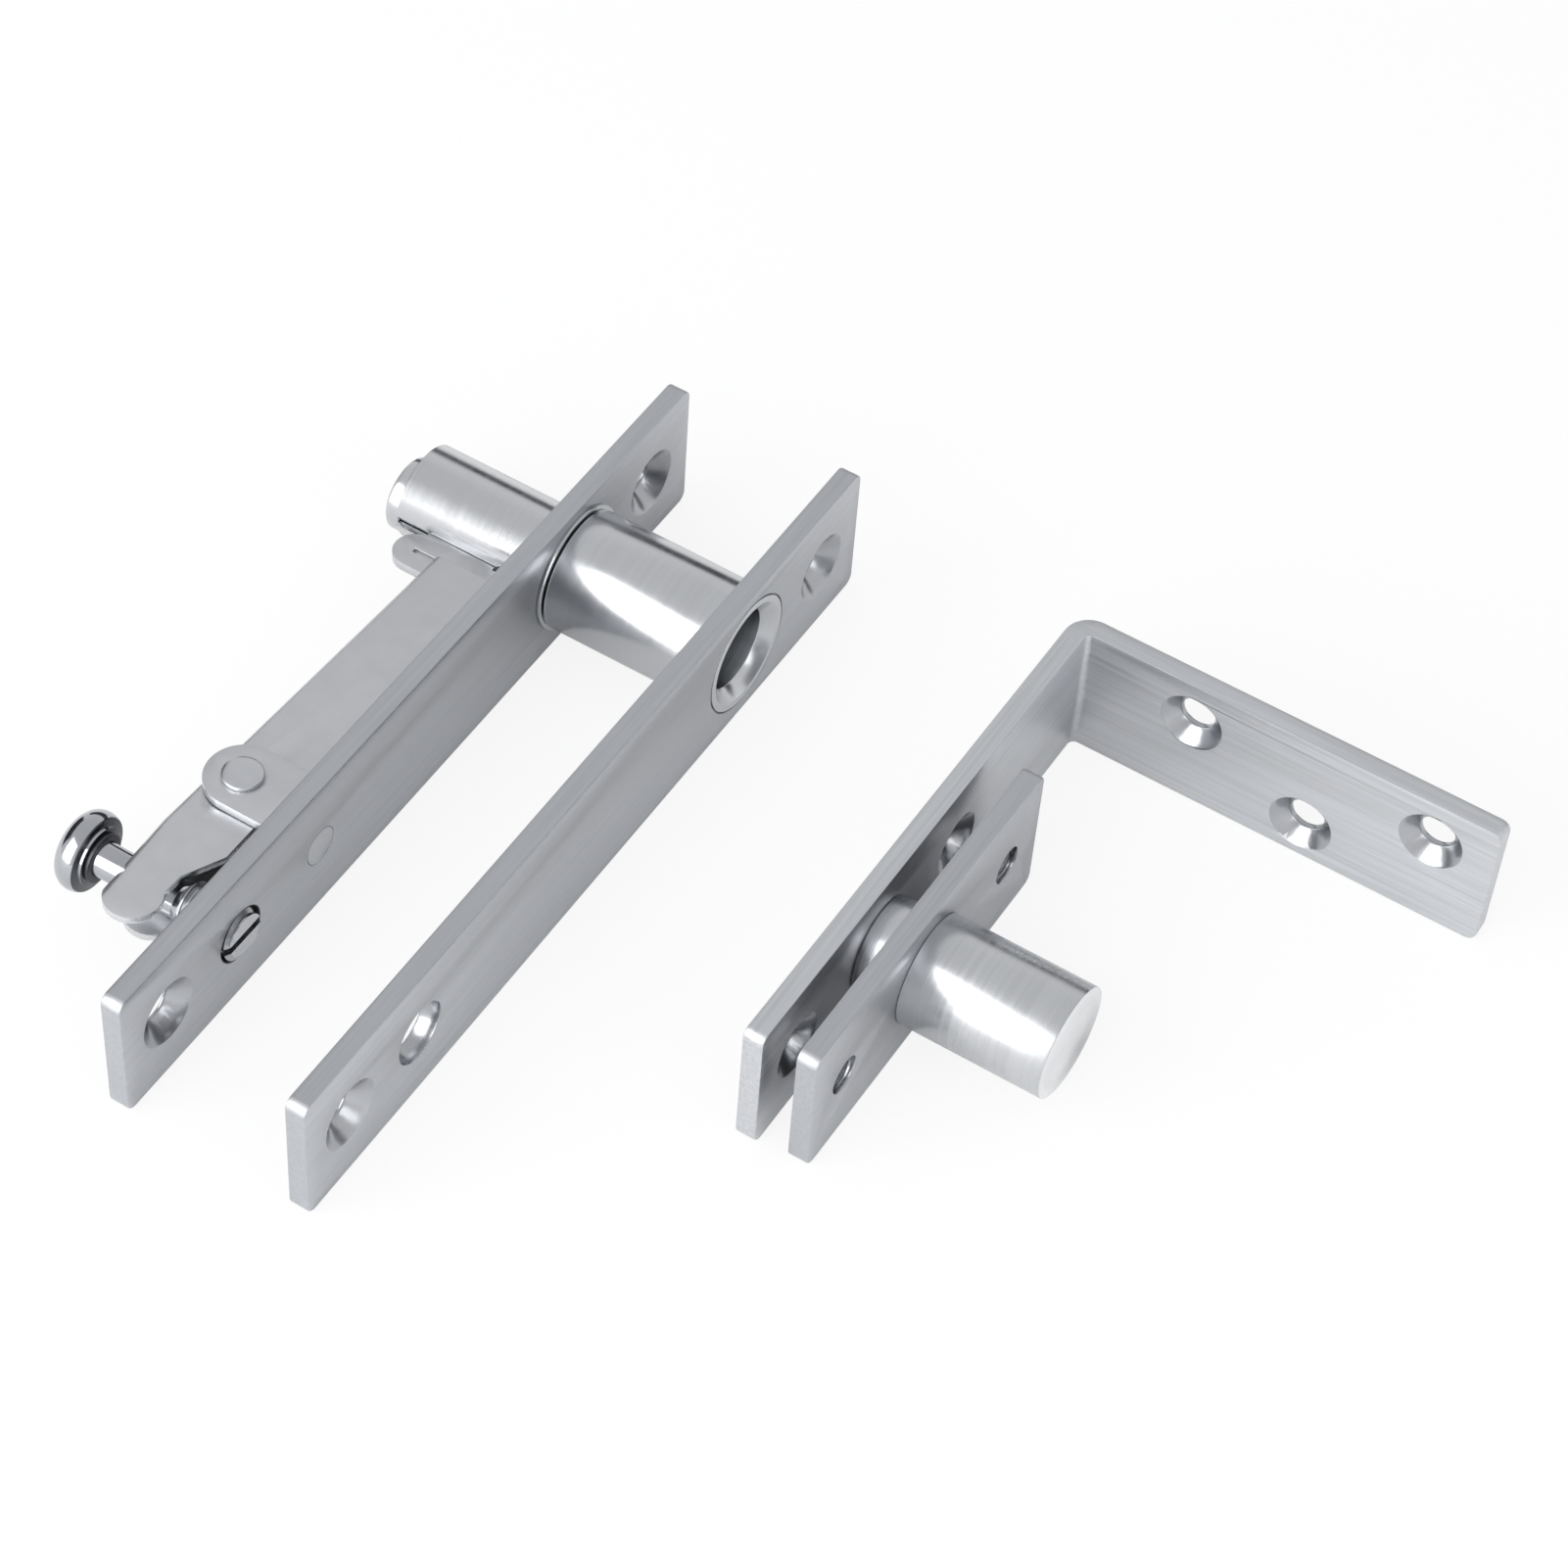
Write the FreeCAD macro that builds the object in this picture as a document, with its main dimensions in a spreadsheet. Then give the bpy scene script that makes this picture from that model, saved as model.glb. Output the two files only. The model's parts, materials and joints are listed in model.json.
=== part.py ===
import FreeCAD, Part
import os

import Sketcher
from FreeCAD import Vector

# Pivot hinge for a swing door, made of two units.
# The top unit has a frame plate that carries a pin, a lever and an adjusting screw. Turning the
# screw swings the lever, which draws the pin back out of the bush of the door plate.
# The bottom unit has an L-shaped bracket with a fixed pin, on which the cup of a short door plate
# turns and rests.
#
# Frame: X is the axis of both pins, Y runs along the plates, Z is up. The origin is the middle of
# the frame plate's lower long edge. Both units stand on their long edges at Z = 0.

# Driving dimensions in millimetres and degrees: name, value, meaning
SIZES = [
    ("plate_length", 130.0, "length of the frame plate and of the top door plate"),
    ("plate_width", 22.0, "width of every plate and of the bracket"),
    ("plate_thickness", 3.0, "thickness of every plate and of the bracket"),
    ("corner_radius", 1.5, "rounding of the corners of plates and bracket"),
    ("screw_inset", 9.3, "top plates: end of the plate to the centre of a screw hole"),
    ("screw_hole", 5.2, "bore of a countersunk screw hole in the top plates"),
    ("screw_head", 10.2, "wide end of a countersunk screw hole in the top plates"),
    ("countersink_angle", 90.0, "full angle of every countersink"),
    ("running_clearance", 0.05, "radial play of anything that turns or slides in a bore"),
    ("face_clearance", 0.3, "play between faces that pass each other"),
    ("pin_inset", 28.5, "far end of the frame plate to the pin axis"),
    ("pin_diameter", 12.0, "pivot pin"),
    ("pin_reach", 10.4, "pivot pin beyond the front face of the frame plate"),
    ("pin_head_length", 2.5, "head on the rear end of the pivot pin, behind the sleeve"),
    ("pin_head_diameter", 10.8, "that head"),
    ("pin_head_near", 1.0, "shift of the head from the pin axis towards the lever"),
    ("pin_head_low", 0.8, "shift of the head below the pin axis"),
    ("pin_lead", 1.0, "chamfer of the pin's front end and of its head"),
    ("sleeve_wall", 0.95, "wall of the guide sleeve"),
    ("sleeve_length", 22.0, "guide sleeve behind the frame plate"),
    ("lip_diameter", 19.0, "lip of the guide sleeve on the face of the frame plate"),
    ("lip_height", 0.5, "thickness of that lip"),
    ("door_gap", 24.9, "front face of the frame plate to the back of the top door plate"),
    ("bush_diameter", 18.0, "bush in the top door plate"),
    ("bush_mouth", 15.6, "wide end of the lead-in cone of the bush"),
    ("edge_break", 0.3, "small chamfer of the slotted screw end"),
    ("access_hole", 9.0, "hole in the top door plate that a screwdriver passes"),
    ("adjuster_inset", 24.4, "near end of the frame plate to the adjusting screw"),
    ("thread_diameter", 8.0, "adjusting screw where it is threaded"),
    ("thread_shoulder", 4.8, "threaded length behind the frame plate"),
    ("thread_runout", 1.5, "length of the cone between thread and neck"),
    ("screw_recess", 0.3, "slotted end below the face of the frame plate"),
    ("slot_width", 1.3, "screwdriver slot"),
    ("slot_depth", 1.6, "screwdriver slot"),
    ("neck_diameter", 5.0, "adjusting screw between thread and collar"),
    ("neck_length", 12.4, "neck from the thread's cone to the thrust washer"),
    ("washer_diameter", 7.2, "thrust washer on the neck"),
    ("washer_thickness", 0.6, "thrust washer on the neck"),
    ("collar_diameter", 8.4, "collar behind the thrust washer"),
    ("collar_length", 0.4, "collar behind the thrust washer"),
    ("knob_diameter", 11.5, "knob of the adjusting screw"),
    ("knob_rim", 2.5, "radius of the round rim of the knob"),
    ("knob_face_angle", 34.0, "angle along that rim from its widest place to the knob's front face"),
    ("fulcrum_inset", 41.9, "near end of the frame plate to the fulcrum"),
    ("fulcrum_standoff", 9.2, "back of the frame plate to the fulcrum axis"),
    ("fulcrum_diameter", 4.0, "shank of the fulcrum rivet"),
    ("fulcrum_head", 5.7, "flat heads of the fulcrum rivet"),
    ("fulcrum_head_height", 0.9, "height of those heads"),
    ("bracket_sheet", 1.5, "sheet of the lever bracket"),
    ("bracket_nose", 5.3, "radius of the lever bracket round the fulcrum"),
    ("ear_clearance", 0.2, "play between the lever and each ear of its bracket"),
    ("bracket_rivet_diameter", 5.6, "rivet that holds the lever bracket"),
    ("bracket_rivet_head", 8.0, "head of that rivet inside the bracket"),
    ("bracket_rivet_height", 1.0, "height of that head, with its edge slanted at 45 degrees"),
    ("lever_sheet", 1.2, "sheet of the lever"),
    ("lever_height", 8.6, "lever over both cheeks"),
    ("lever_standoff", 3.75, "back of the frame plate to the front edge of the lever, near half"),
    ("lever_far_standoff", 2.3, "the same beyond the fulcrum, where the lever only swings away"),
    ("lever_depth", 10.65, "front edge to back of the lever at its near bend"),
    ("lever_far_depth", 7.95, "front edge to back of the lever at its far end"),
    ("lever_bend", 7.1, "screw axis to the near bend of the lever"),
    ("lever_end_gap", 5.2, "far end of the lever to the guide sleeve"),
    ("lever_fold", 1.0, "outer rounding of the folded sheet"),
    ("nose_slant", 2.95, "step of the front edge from the near bend to the screw axis"),
    ("nose_corner", 0.65, "the slanted edge stops this far from the bend and from the screw axis"),
    ("lobe_radius", 4.0, "round end of a cheek beside the adjusting screw"),
    ("lobe_reach", 5.0, "screw axis to the centre of the upper round end"),
    ("lobe_shift", 0.8, "centre of the round ends behind the fulcrum axis"),
    ("lobe_shoulder", 37.0, "angle at which a round end leaves the cheek"),
    ("lower_lobe_reach", 1.4, "screw axis to the centre of the lower round end"),
    ("web_end", 8.5, "web of the lever ends this far before the lever does"),
    ("cross_pin_diameter", 3.0, "pin across the far end of the lever"),
    ("cross_pin_inset", 3.3, "far end of the lever to the cross pin"),
    ("cross_pin_depth", 4.25, "front edge of the lever to the cross pin"),
    ("cross_pin_play", 0.25, "play of the cross pin on each side in the key's slot"),
    ("key_thickness", 1.5, "drive key"),
    ("key_slot_play", 0.1, "play of the key on each side in the sleeve's slot"),
    ("key_tang", 11.0, "length of the key inside the pin"),
    ("key_root_depth", 3.0, "key beyond the pin axis"),
    ("key_wing", 6.0, "width of the key's strip beside the sleeve"),
    ("key_wing_gap", 0.6, "sleeve to the strip of the key"),
    ("key_length", 14.5, "length of the key's strip"),
    ("key_front", 5.0, "back of the frame plate to the front end of the key"),
    ("key_lug", 7.0, "width of the key's lug inside the lever"),
    ("key_lug_wall", 1.6, "end wall of that lug beyond its slot"),
    ("key_slot_travel", 1.0, "way of the cross pin along the key's slot"),
    ("key_slit_length", 6.5, "slit in the strip of the key"),
    ("key_slit_width", 0.7, "slit in the strip of the key"),
    ("key_pin_diameter", 2.5, "dowel that holds the key in the pin"),
    ("stand_gap", 68.2, "front face of the frame plate to the bracket's long arm"),
    ("stand_offset", 40.4, "near end of the frame plate to the near end of the bracket"),
    ("long_arm", 84.6, "bracket arm that carries the bottom pin, over the bend"),
    ("short_arm", 64.8, "bracket arm with three screw holes, over the bend"),
    ("bend_inside", 1.0, "inner radius of the bracket's bend"),
    ("bend_outside", 4.0, "outer radius of the bracket's bend"),
    ("bracket_hole", 5.0, "bore of the bracket's screw holes"),
    ("bracket_head", 9.3, "wide end of the bracket's screw holes"),
    ("bracket_hole_first", 19.7, "outside of the bend to the first hole of the short arm"),
    ("bracket_hole_pitch", 17.95, "step along the short arm from hole to hole"),
    ("bracket_hole_high", 14.8, "height of the outer two holes of the short arm"),
    ("bracket_hole_low", 5.9, "height of the middle hole of the short arm"),
    ("bracket_base_pitch", 39.6, "distance of the two screw holes of the long arm"),
    ("bottom_pin_setback", 29.0, "near end of the bracket to the bottom pin axis"),
    ("bottom_pin_diameter", 10.0, "fixed pin of the bracket"),
    ("bottom_gap", 4.4, "bracket to bottom door plate"),
    ("spacer_diameter", 14.0, "spacer washer in that gap"),
    ("bottom_plate_length", 56.6, "bottom door plate"),
    ("bottom_screw_inset", 7.9, "end of the bottom door plate to a screw hole"),
    ("bottom_screw_hole", 5.4, "bore of the screw holes of the bottom door plate"),
    ("cup_diameter", 16.0, "cup on the bottom door plate"),
    ("cup_length", 21.1, "cup beyond the face of the bottom door plate"),
    ("cup_spigot", 14.0, "cup where it is pressed into the bottom door plate"),
    ("cup_floor", 3.0, "closed end of the cup"),
    ("thrust_disc_thickness", 2.0, "disc between the bottom pin and the closed end of the cup"),
]

doc = FreeCAD.newDocument("pivot_hinge")
sheet = doc.addObject("Spreadsheet::Sheet", "Sizes")
for row, (alias, number, meaning) in enumerate(SIZES, start=1):
    sheet.set(f"A{row}", alias)
    sheet.set(f"B{row}", str(number))
    sheet.setAlias(f"B{row}", alias)
    sheet.set(f"C{row}", meaning)
doc.recompute()

# The round rim of the knob is turned as this many cones
RIM_CONES = 5

# Places that several pieces share, written as expressions of the sheet
FRONT = "(Sizes.plate_thickness / 2)"
BACK = "(0 - Sizes.plate_thickness / 2)"
NEAR = "(0 - Sizes.plate_length / 2)"
MIDDLE_Z = "(Sizes.plate_width / 2)"
PIN_Y = "(Sizes.plate_length / 2 - Sizes.pin_inset)"
SCREW_Y = f"({NEAR} + Sizes.adjuster_inset)"
FULCRUM_Y = f"({NEAR} + Sizes.fulcrum_inset)"
FULCRUM_X = f"({BACK} - Sizes.fulcrum_standoff)"
PIN_R = "(Sizes.pin_diameter / 2)"
PIN_BORE = f"({PIN_R} + Sizes.running_clearance)"
SLEEVE_R = f"({PIN_BORE} + Sizes.sleeve_wall)"
SLEEVE_REAR = f"({BACK} - Sizes.sleeve_length)"
LEVER_FRONT = f"({BACK} - Sizes.lever_standoff)"
LEVER_FAR_FRONT = f"({BACK} - Sizes.lever_far_standoff)"
LEVER_END = f"({PIN_Y} - {SLEEVE_R} - Sizes.lever_end_gap)"
CROSS_X = f"({LEVER_FRONT} - Sizes.cross_pin_depth)"
CROSS_Y = f"({LEVER_END} - Sizes.cross_pin_inset)"
EAR_INSIDE = "(Sizes.lever_height / 2 + Sizes.ear_clearance)"
EAR_OUTSIDE = f"({EAR_INSIDE} + Sizes.bracket_sheet)"
DOOR_X = f"({FRONT} + Sizes.door_gap + Sizes.plate_thickness / 2)"
STAND_X = f"({FRONT} + Sizes.stand_gap)"
STAND_Y = f"({NEAR} + Sizes.stand_offset)"
BOTTOM_PIN_Y = f"({STAND_Y} + Sizes.bottom_pin_setback)"


def value(expression):
    """The number that an expression of the sheet stands for."""
    return float(sheet.evalExpression(expression))


def half(alias):
    """Half of a named size, as an expression."""
    return f"(Sizes.{alias} / 2)"


# Building blocks


def new_body(label, at_x="0", at_y="0", at_z="0"):
    """A body whose own origin stands at the given place."""
    body = doc.addObject("PartDesign::Body", label)
    body.Label = label
    for axis, place in zip("xyz", (at_x, at_y, at_z)):
        body.setExpression(f"Placement.Base.{axis}", place)
    return body


def new_sketch(body, name, role, offset):
    """An empty sketch on one of the body's origin planes, moved along the plane's normal."""
    sketch = body.newObject("Sketcher::SketchObject", name)
    plane = next(item for item in body.Origin.OriginFeatures if item.Role == role)
    sketch.AttachmentSupport = [(plane, "")]
    sketch.MapMode = "FlatFace"
    sketch.setExpression("AttachmentOffset.Base.z", offset)
    return sketch


def bind(sketch, name, expression, kind, *where):
    """One dimension of a sketch, tied to an expression of the sheet."""
    index = sketch.addConstraint(Sketcher.Constraint(kind, *where, value(expression)))
    sketch.renameConstraint(index, name)
    sketch.setExpression(f"Constraints.{name}", expression)


def arc_between(start, end, radius):
    """The short arc from start to end. A positive radius turns left, a negative one right."""
    chord = end - start
    reach = (radius * radius - chord.Length * chord.Length / 4) ** 0.5
    left = Vector(-chord.y, chord.x, 0).normalize()
    side = 1 if radius > 0 else -1
    centre = (start + end) / 2 + left * reach * side
    middle = centre + ((start + end) / 2 - centre).normalize() * abs(radius)
    first, last = (start, end) if radius > 0 else (end, start)
    return Part.ArcOfCircle(first, middle, last)


def outline(body, name, role, points, offset="0"):
    """A closed sketch through points. A third entry makes the next stretch an arc of that radius."""
    sketch = new_sketch(body, name, role, offset)
    corners = [Vector(value(point[0]), value(point[1]), 0) for point in points]
    ends = []
    for index, point in enumerate(points):
        start, end = corners[index], corners[(index + 1) % len(points)]
        if len(point) == 2:
            sketch.addGeometry(Part.LineSegment(start, end))
            ends.append((1, 2))
        else:
            radius = value(point[2])
            sketch.addGeometry(arc_between(start, end, radius))
            ends.append((1, 2) if radius > 0 else (2, 1))
    for index, point in enumerate(points):
        after = (index + 1) % len(points)
        sketch.addConstraint(Sketcher.Constraint("Coincident", index, ends[index][1], after, ends[after][0]))
        bind(sketch, f"across_{index}", point[0], "DistanceX", -1, 1, index, ends[index][0])
        bind(sketch, f"up_{index}", point[1], "DistanceY", -1, 1, index, ends[index][0])
        if len(point) == 3:
            bind(sketch, f"radius_{index}", f"abs({point[2]})", "Radius", index)
    return sketch


def circles(body, name, role, rounds, offset="0"):
    """A sketch of circles, each given as across, up and radius."""
    sketch = new_sketch(body, name, role, offset)
    for index, (across, up, radius) in enumerate(rounds):
        centre = Vector(value(across), value(up), 0)
        sketch.addGeometry(Part.Circle(centre, Vector(0, 0, 1), value(radius)))
        bind(sketch, f"across_{index}", across, "DistanceX", -1, 1, index, 3)
        bind(sketch, f"up_{index}", up, "DistanceY", -1, 1, index, 3)
        bind(sketch, f"radius_{index}", radius, "Radius", index)
    return sketch


def changed(feature, before, sign):
    """Recompute and make sure that the feature added or removed material as it should."""
    doc.recompute()
    if (feature.Shape.Volume - before) * sign <= 0:
        raise RuntimeError(f"{feature.Label} changes nothing")


def volume_of(body):
    """Volume of the body so far."""
    doc.recompute()
    return body.Tip.Shape.Volume if body.Tip else 0.0


def pad(body, sketch, length, symmetric=True):
    """Material along the sketch's normal, half to each side or all to the front."""
    before = volume_of(body)
    feature = body.newObject("PartDesign::Pad", f"{sketch.Name}_pad")
    feature.Profile = sketch
    feature.SideType = "Symmetric" if symmetric else "One side"
    feature.setExpression("Length", length)
    changed(feature, before, 1)


def pocket(body, sketch, length=None):
    """A cut to both sides of the sketch, right through or of a given whole length."""
    before = volume_of(body)
    feature = body.newObject("PartDesign::Pocket", f"{sketch.Name}_pocket")
    feature.Profile = sketch
    feature.SideType = "Symmetric"
    if length is None:
        feature.Type = "ThroughAll"
    else:
        feature.setExpression("Length", length)
    changed(feature, before, -1)


def turn(body, points, role="XY_Plane", axis="H_Axis"):
    """A turned piece: the outline of half its section, revolved about the body's own axis."""
    sketch = outline(body, f"{body.Name}_section", role, points)
    feature = body.newObject("PartDesign::Revolution", f"{body.Name}_turning")
    feature.Profile = sketch
    feature.ReferenceAxis = (sketch, [axis])
    feature.Angle = 360
    changed(feature, 0.0, 1)


def countersunk(body, sketch, bore, head, backwards=False):
    """Countersunk screw holes at the circles of a sketch, into the material behind it."""
    before = volume_of(body)
    feature = body.newObject("PartDesign::Hole", f"{sketch.Name}_holes")
    feature.Profile = sketch
    doc.recompute()
    feature.ThreadType = "None"
    feature.DepthType = "ThroughAll"
    feature.HoleCutType = "Countersink"
    feature.HoleCutCustomValues = True
    feature.Reversed = backwards
    feature.setExpression("Diameter", bore)
    feature.setExpression("HoleCutDiameter", head)
    feature.setExpression("HoleCutCountersinkAngle", "Sizes.countersink_angle")
    changed(feature, before, -1)


def trim_edges(body, name, size, chosen, kind="Fillet"):
    """Round or chamfer the edges of the body that the test picks."""
    before = volume_of(body)
    base = body.Tip
    names = [f"Edge{number}" for number, edge in enumerate(base.Shape.Edges, 1) if chosen(edge)]
    feature = body.newObject(f"PartDesign::{kind}", name)
    feature.Base = (base, names)
    feature.setExpression("Radius" if kind == "Fillet" else "Size", size)
    changed(feature, before, -1)


def plate_outline(body, role, across_from, across_to):
    """A plate's rectangle with rounded corners, from its lower edge to its upper one."""
    radius, top = "Sizes.corner_radius", "Sizes.plate_width"
    points = [
        (f"{across_from} + {radius}", "0"),
        (f"{across_to} - {radius}", "0", radius),
        (across_to, radius),
        (across_to, f"{top} - {radius}", radius),
        (f"{across_to} - {radius}", top),
        (f"{across_from} + {radius}", top, radius),
        (across_from, f"{top} - {radius}"),
        (across_from, radius, radius),
    ]
    return outline(body, f"{body.Name}_outline", role, points)


# Top unit, plates


def top_plate(label, at_x, rounds):
    """A long plate with a countersunk screw hole near each end and other round holes."""
    body = new_body(label, at_x)
    length = "Sizes.plate_length"
    pad(body, plate_outline(body, "YZ_Plane", NEAR, f"{length} / 2"), "Sizes.plate_thickness")
    screw_y = f"({length} / 2 - Sizes.screw_inset)"
    screws = [(screw_y, MIDDLE_Z, half("screw_hole")), (f"0 - {screw_y}", MIDDLE_Z, half("screw_hole"))]
    sketch = circles(body, f"{label}_screws", "YZ_Plane", screws, FRONT)
    countersunk(body, sketch, "Sizes.screw_hole", "Sizes.screw_head")
    pocket(body, circles(body, f"{label}_rounds", "YZ_Plane", rounds))


def frame_plate():
    """The plate let into the door frame, which carries the whole mechanism."""
    rounds = [
        (PIN_Y, MIDDLE_Z, SLEEVE_R),
        (SCREW_Y, MIDDLE_Z, f"{half('thread_diameter')} + Sizes.running_clearance"),
        (FULCRUM_Y, MIDDLE_Z, half("bracket_rivet_diameter")),
    ]
    top_plate("top_frame_plate", "0", rounds)


def door_plate():
    """The plate let into the top of the door, with its bush and a hole for the screwdriver."""
    rounds = [
        (PIN_Y, MIDDLE_Z, half("bush_diameter")),
        (SCREW_Y, MIDDLE_Z, half("access_hole")),
    ]
    top_plate("top_door_plate", DOOR_X, rounds)


def top_bush():
    """The tube that the pin enters, with a lead-in cone in the face of the door plate."""
    body = new_body("top_bush", "0", PIN_Y, MIDDLE_Z)
    face = f"({DOOR_X} + Sizes.plate_thickness / 2)"
    rear = f"({FRONT} + Sizes.lip_height + Sizes.face_clearance)"
    outer, mouth = half("bush_diameter"), half("bush_mouth")
    turn(body, [
        (face, mouth),
        (face, outer),
        (rear, outer),
        (rear, PIN_BORE),
        (f"{face} - ({mouth} - {PIN_BORE})", PIN_BORE),
    ])


# Top unit, pin


def pin_sleeve():
    """The guide of the pin: a tube behind the frame plate with a thin lip on its face."""
    body = new_body("pin_sleeve", "0", PIN_Y, MIDDLE_Z)
    lip = f"({FRONT} + Sizes.lip_height)"
    turn(body, [
        (lip, PIN_BORE),
        (lip, half("lip_diameter")),
        (FRONT, half("lip_diameter")),
        (FRONT, SLEEVE_R),
        (SLEEVE_REAR, SLEEVE_R),
        (SLEEVE_REAR, PIN_BORE),
    ])
    slot_half = "(Sizes.key_thickness / 2 + Sizes.key_slot_play)"
    slot_front = f"({BACK} - Sizes.key_front + Sizes.face_clearance)"
    slot = outline(body, "sleeve_slot", "XZ_Plane", [
        (f"{SLEEVE_REAR} - 1", f"0 - {slot_half}"),
        (slot_front, f"0 - {slot_half}"),
        (slot_front, slot_half),
        (f"{SLEEVE_REAR} - 1", slot_half),
    ], f"{SLEEVE_R}")
    pocket(body, slot, f"2 * {SLEEVE_R}")


def pivot_pin():
    """The sliding pin. Its head stops it at the sleeve; it is slotted and drilled for the key."""
    body = new_body("pivot_pin", "0", PIN_Y, MIDDLE_Z)
    nose, neck = f"({FRONT} + Sizes.pin_reach)", f"({SLEEVE_REAR} - Sizes.face_clearance)"
    lead = "Sizes.pin_lead"
    turn(body, [
        (nose, "0"),
        (nose, f"{PIN_R} - {lead}"),
        (f"{nose} - {lead}", PIN_R),
        (neck, PIN_R),
        (neck, "0"),
    ])
    length = "(Sizes.pin_head_length - Sizes.face_clearance)"
    head_round = [("0 - Sizes.pin_head_near", "0 - Sizes.pin_head_low", half("pin_head_diameter"))]
    head = circles(body, "pin_head", "YZ_Plane", head_round, f"{neck} - {length} / 2")
    pad(body, head, length)

    def on_end(edge):
        """The rim of the head's end."""
        at_end = edge.CenterOfMass.x < value(f"{neck} - {length}") + 0.01
        return at_end and edge.Length > value("Sizes.pin_head_diameter")

    trim_edges(body, "head_rim", lead, on_end, "Chamfer")
    front, rear = key_tang_ends()
    slot = outline(body, "key_seat", "XY_Plane", [
        (rear, f"0 - {PIN_R} - 1"),
        (front, f"0 - {PIN_R} - 1"),
        (front, "Sizes.key_root_depth"),
        (rear, "Sizes.key_root_depth"),
    ])
    pocket(body, slot, "Sizes.key_thickness")
    dowel = circles(body, "dowel_seat", "XY_Plane", [(key_pin_x(), "0", half("key_pin_diameter"))])
    pocket(body, dowel)


def key_tang_ends():
    """Front and rear end of the key inside the pin."""
    front = f"({BACK} - Sizes.key_front - Sizes.key_wing_gap)"
    return front, f"({front} - Sizes.key_tang)"


def key_pin_x():
    """Place of the dowel along the pin: the middle of the key's tang."""
    front, rear = key_tang_ends()
    return f"(({front} + {rear}) / 2)"


def drive_key():
    """The flat key: a tang in the pin, a strip beside the sleeve and a slotted lug in the lever."""
    body = new_body("drive_key", "0", PIN_Y, MIDDLE_Z)
    front, rear = key_tang_ends()
    wing_front = f"({BACK} - Sizes.key_front)"
    wing_rear = f"({wing_front} - Sizes.key_length)"
    wing_top = f"(0 - {SLEEVE_R} - Sizes.key_wing_gap)"
    wing_low = f"({wing_top} - Sizes.key_wing)"
    wing_round = half("key_wing")
    cross_y = f"({CROSS_Y} - {PIN_Y})"
    slot_half = f"({half('cross_pin_diameter')} + Sizes.cross_pin_play)"
    slot_low = f"({cross_y} - Sizes.key_slot_travel)"
    lug_low = f"({slot_low} - {slot_half} - Sizes.key_lug_wall)"
    lug_front, lug_rear = f"({CROSS_X} + {half('key_lug')})", f"({CROSS_X} - {half('key_lug')})"
    shape = outline(body, "key_outline", "XY_Plane", [
        (rear, "Sizes.key_root_depth"),
        (rear, wing_top),
        (f"{wing_rear} + {wing_round}", wing_top, wing_round),
        (wing_rear, f"{wing_top} - {wing_round}", wing_round),
        (f"{wing_rear} + {wing_round}", wing_low),
        (lug_rear, wing_low),
        (lug_rear, lug_low),
        (lug_front, lug_low),
        (lug_front, wing_low),
        (wing_front, wing_low),
        (wing_front, wing_top),
        (front, wing_top),
        (front, "Sizes.key_root_depth"),
    ])
    pad(body, shape, "Sizes.key_thickness")
    slot = outline(body, "key_slot", "XY_Plane", [
        (f"{CROSS_X} - {slot_half}", slot_low, slot_half),
        (CROSS_X, f"{slot_low} - {slot_half}", slot_half),
        (f"{CROSS_X} + {slot_half}", slot_low),
        (f"{CROSS_X} + {slot_half}", cross_y, slot_half),
        (CROSS_X, f"{cross_y} + {slot_half}", slot_half),
        (f"{CROSS_X} - {slot_half}", cross_y),
    ])
    pocket(body, slot)
    slit_middle = f"({wing_top} - {wing_round})"
    slit_rear = f"({wing_rear} + {wing_round})"
    slit_front = f"({slit_rear} + Sizes.key_slit_length)"
    slit = outline(body, "key_slit", "XY_Plane", [
        (slit_rear, f"{slit_middle} - {half('key_slit_width')}"),
        (slit_front, f"{slit_middle} - {half('key_slit_width')}"),
        (slit_front, f"{slit_middle} + {half('key_slit_width')}"),
        (slit_rear, f"{slit_middle} + {half('key_slit_width')}"),
    ])
    pocket(body, slit)
    pocket(body, circles(body, "key_dowel", "XY_Plane", [(key_pin_x(), "0", half("key_pin_diameter"))]))


def key_pin():
    """The dowel across the pivot pin, a little shorter than the pin is thick."""
    body = new_body("key_pin", key_pin_x(), PIN_Y, MIDDLE_Z)
    sketch = circles(body, "dowel_section", "XY_Plane", [("0", "0", half("key_pin_diameter"))])
    pad(body, sketch, "Sizes.pin_diameter - 4 * Sizes.face_clearance")


# Top unit, lever mechanism


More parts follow.
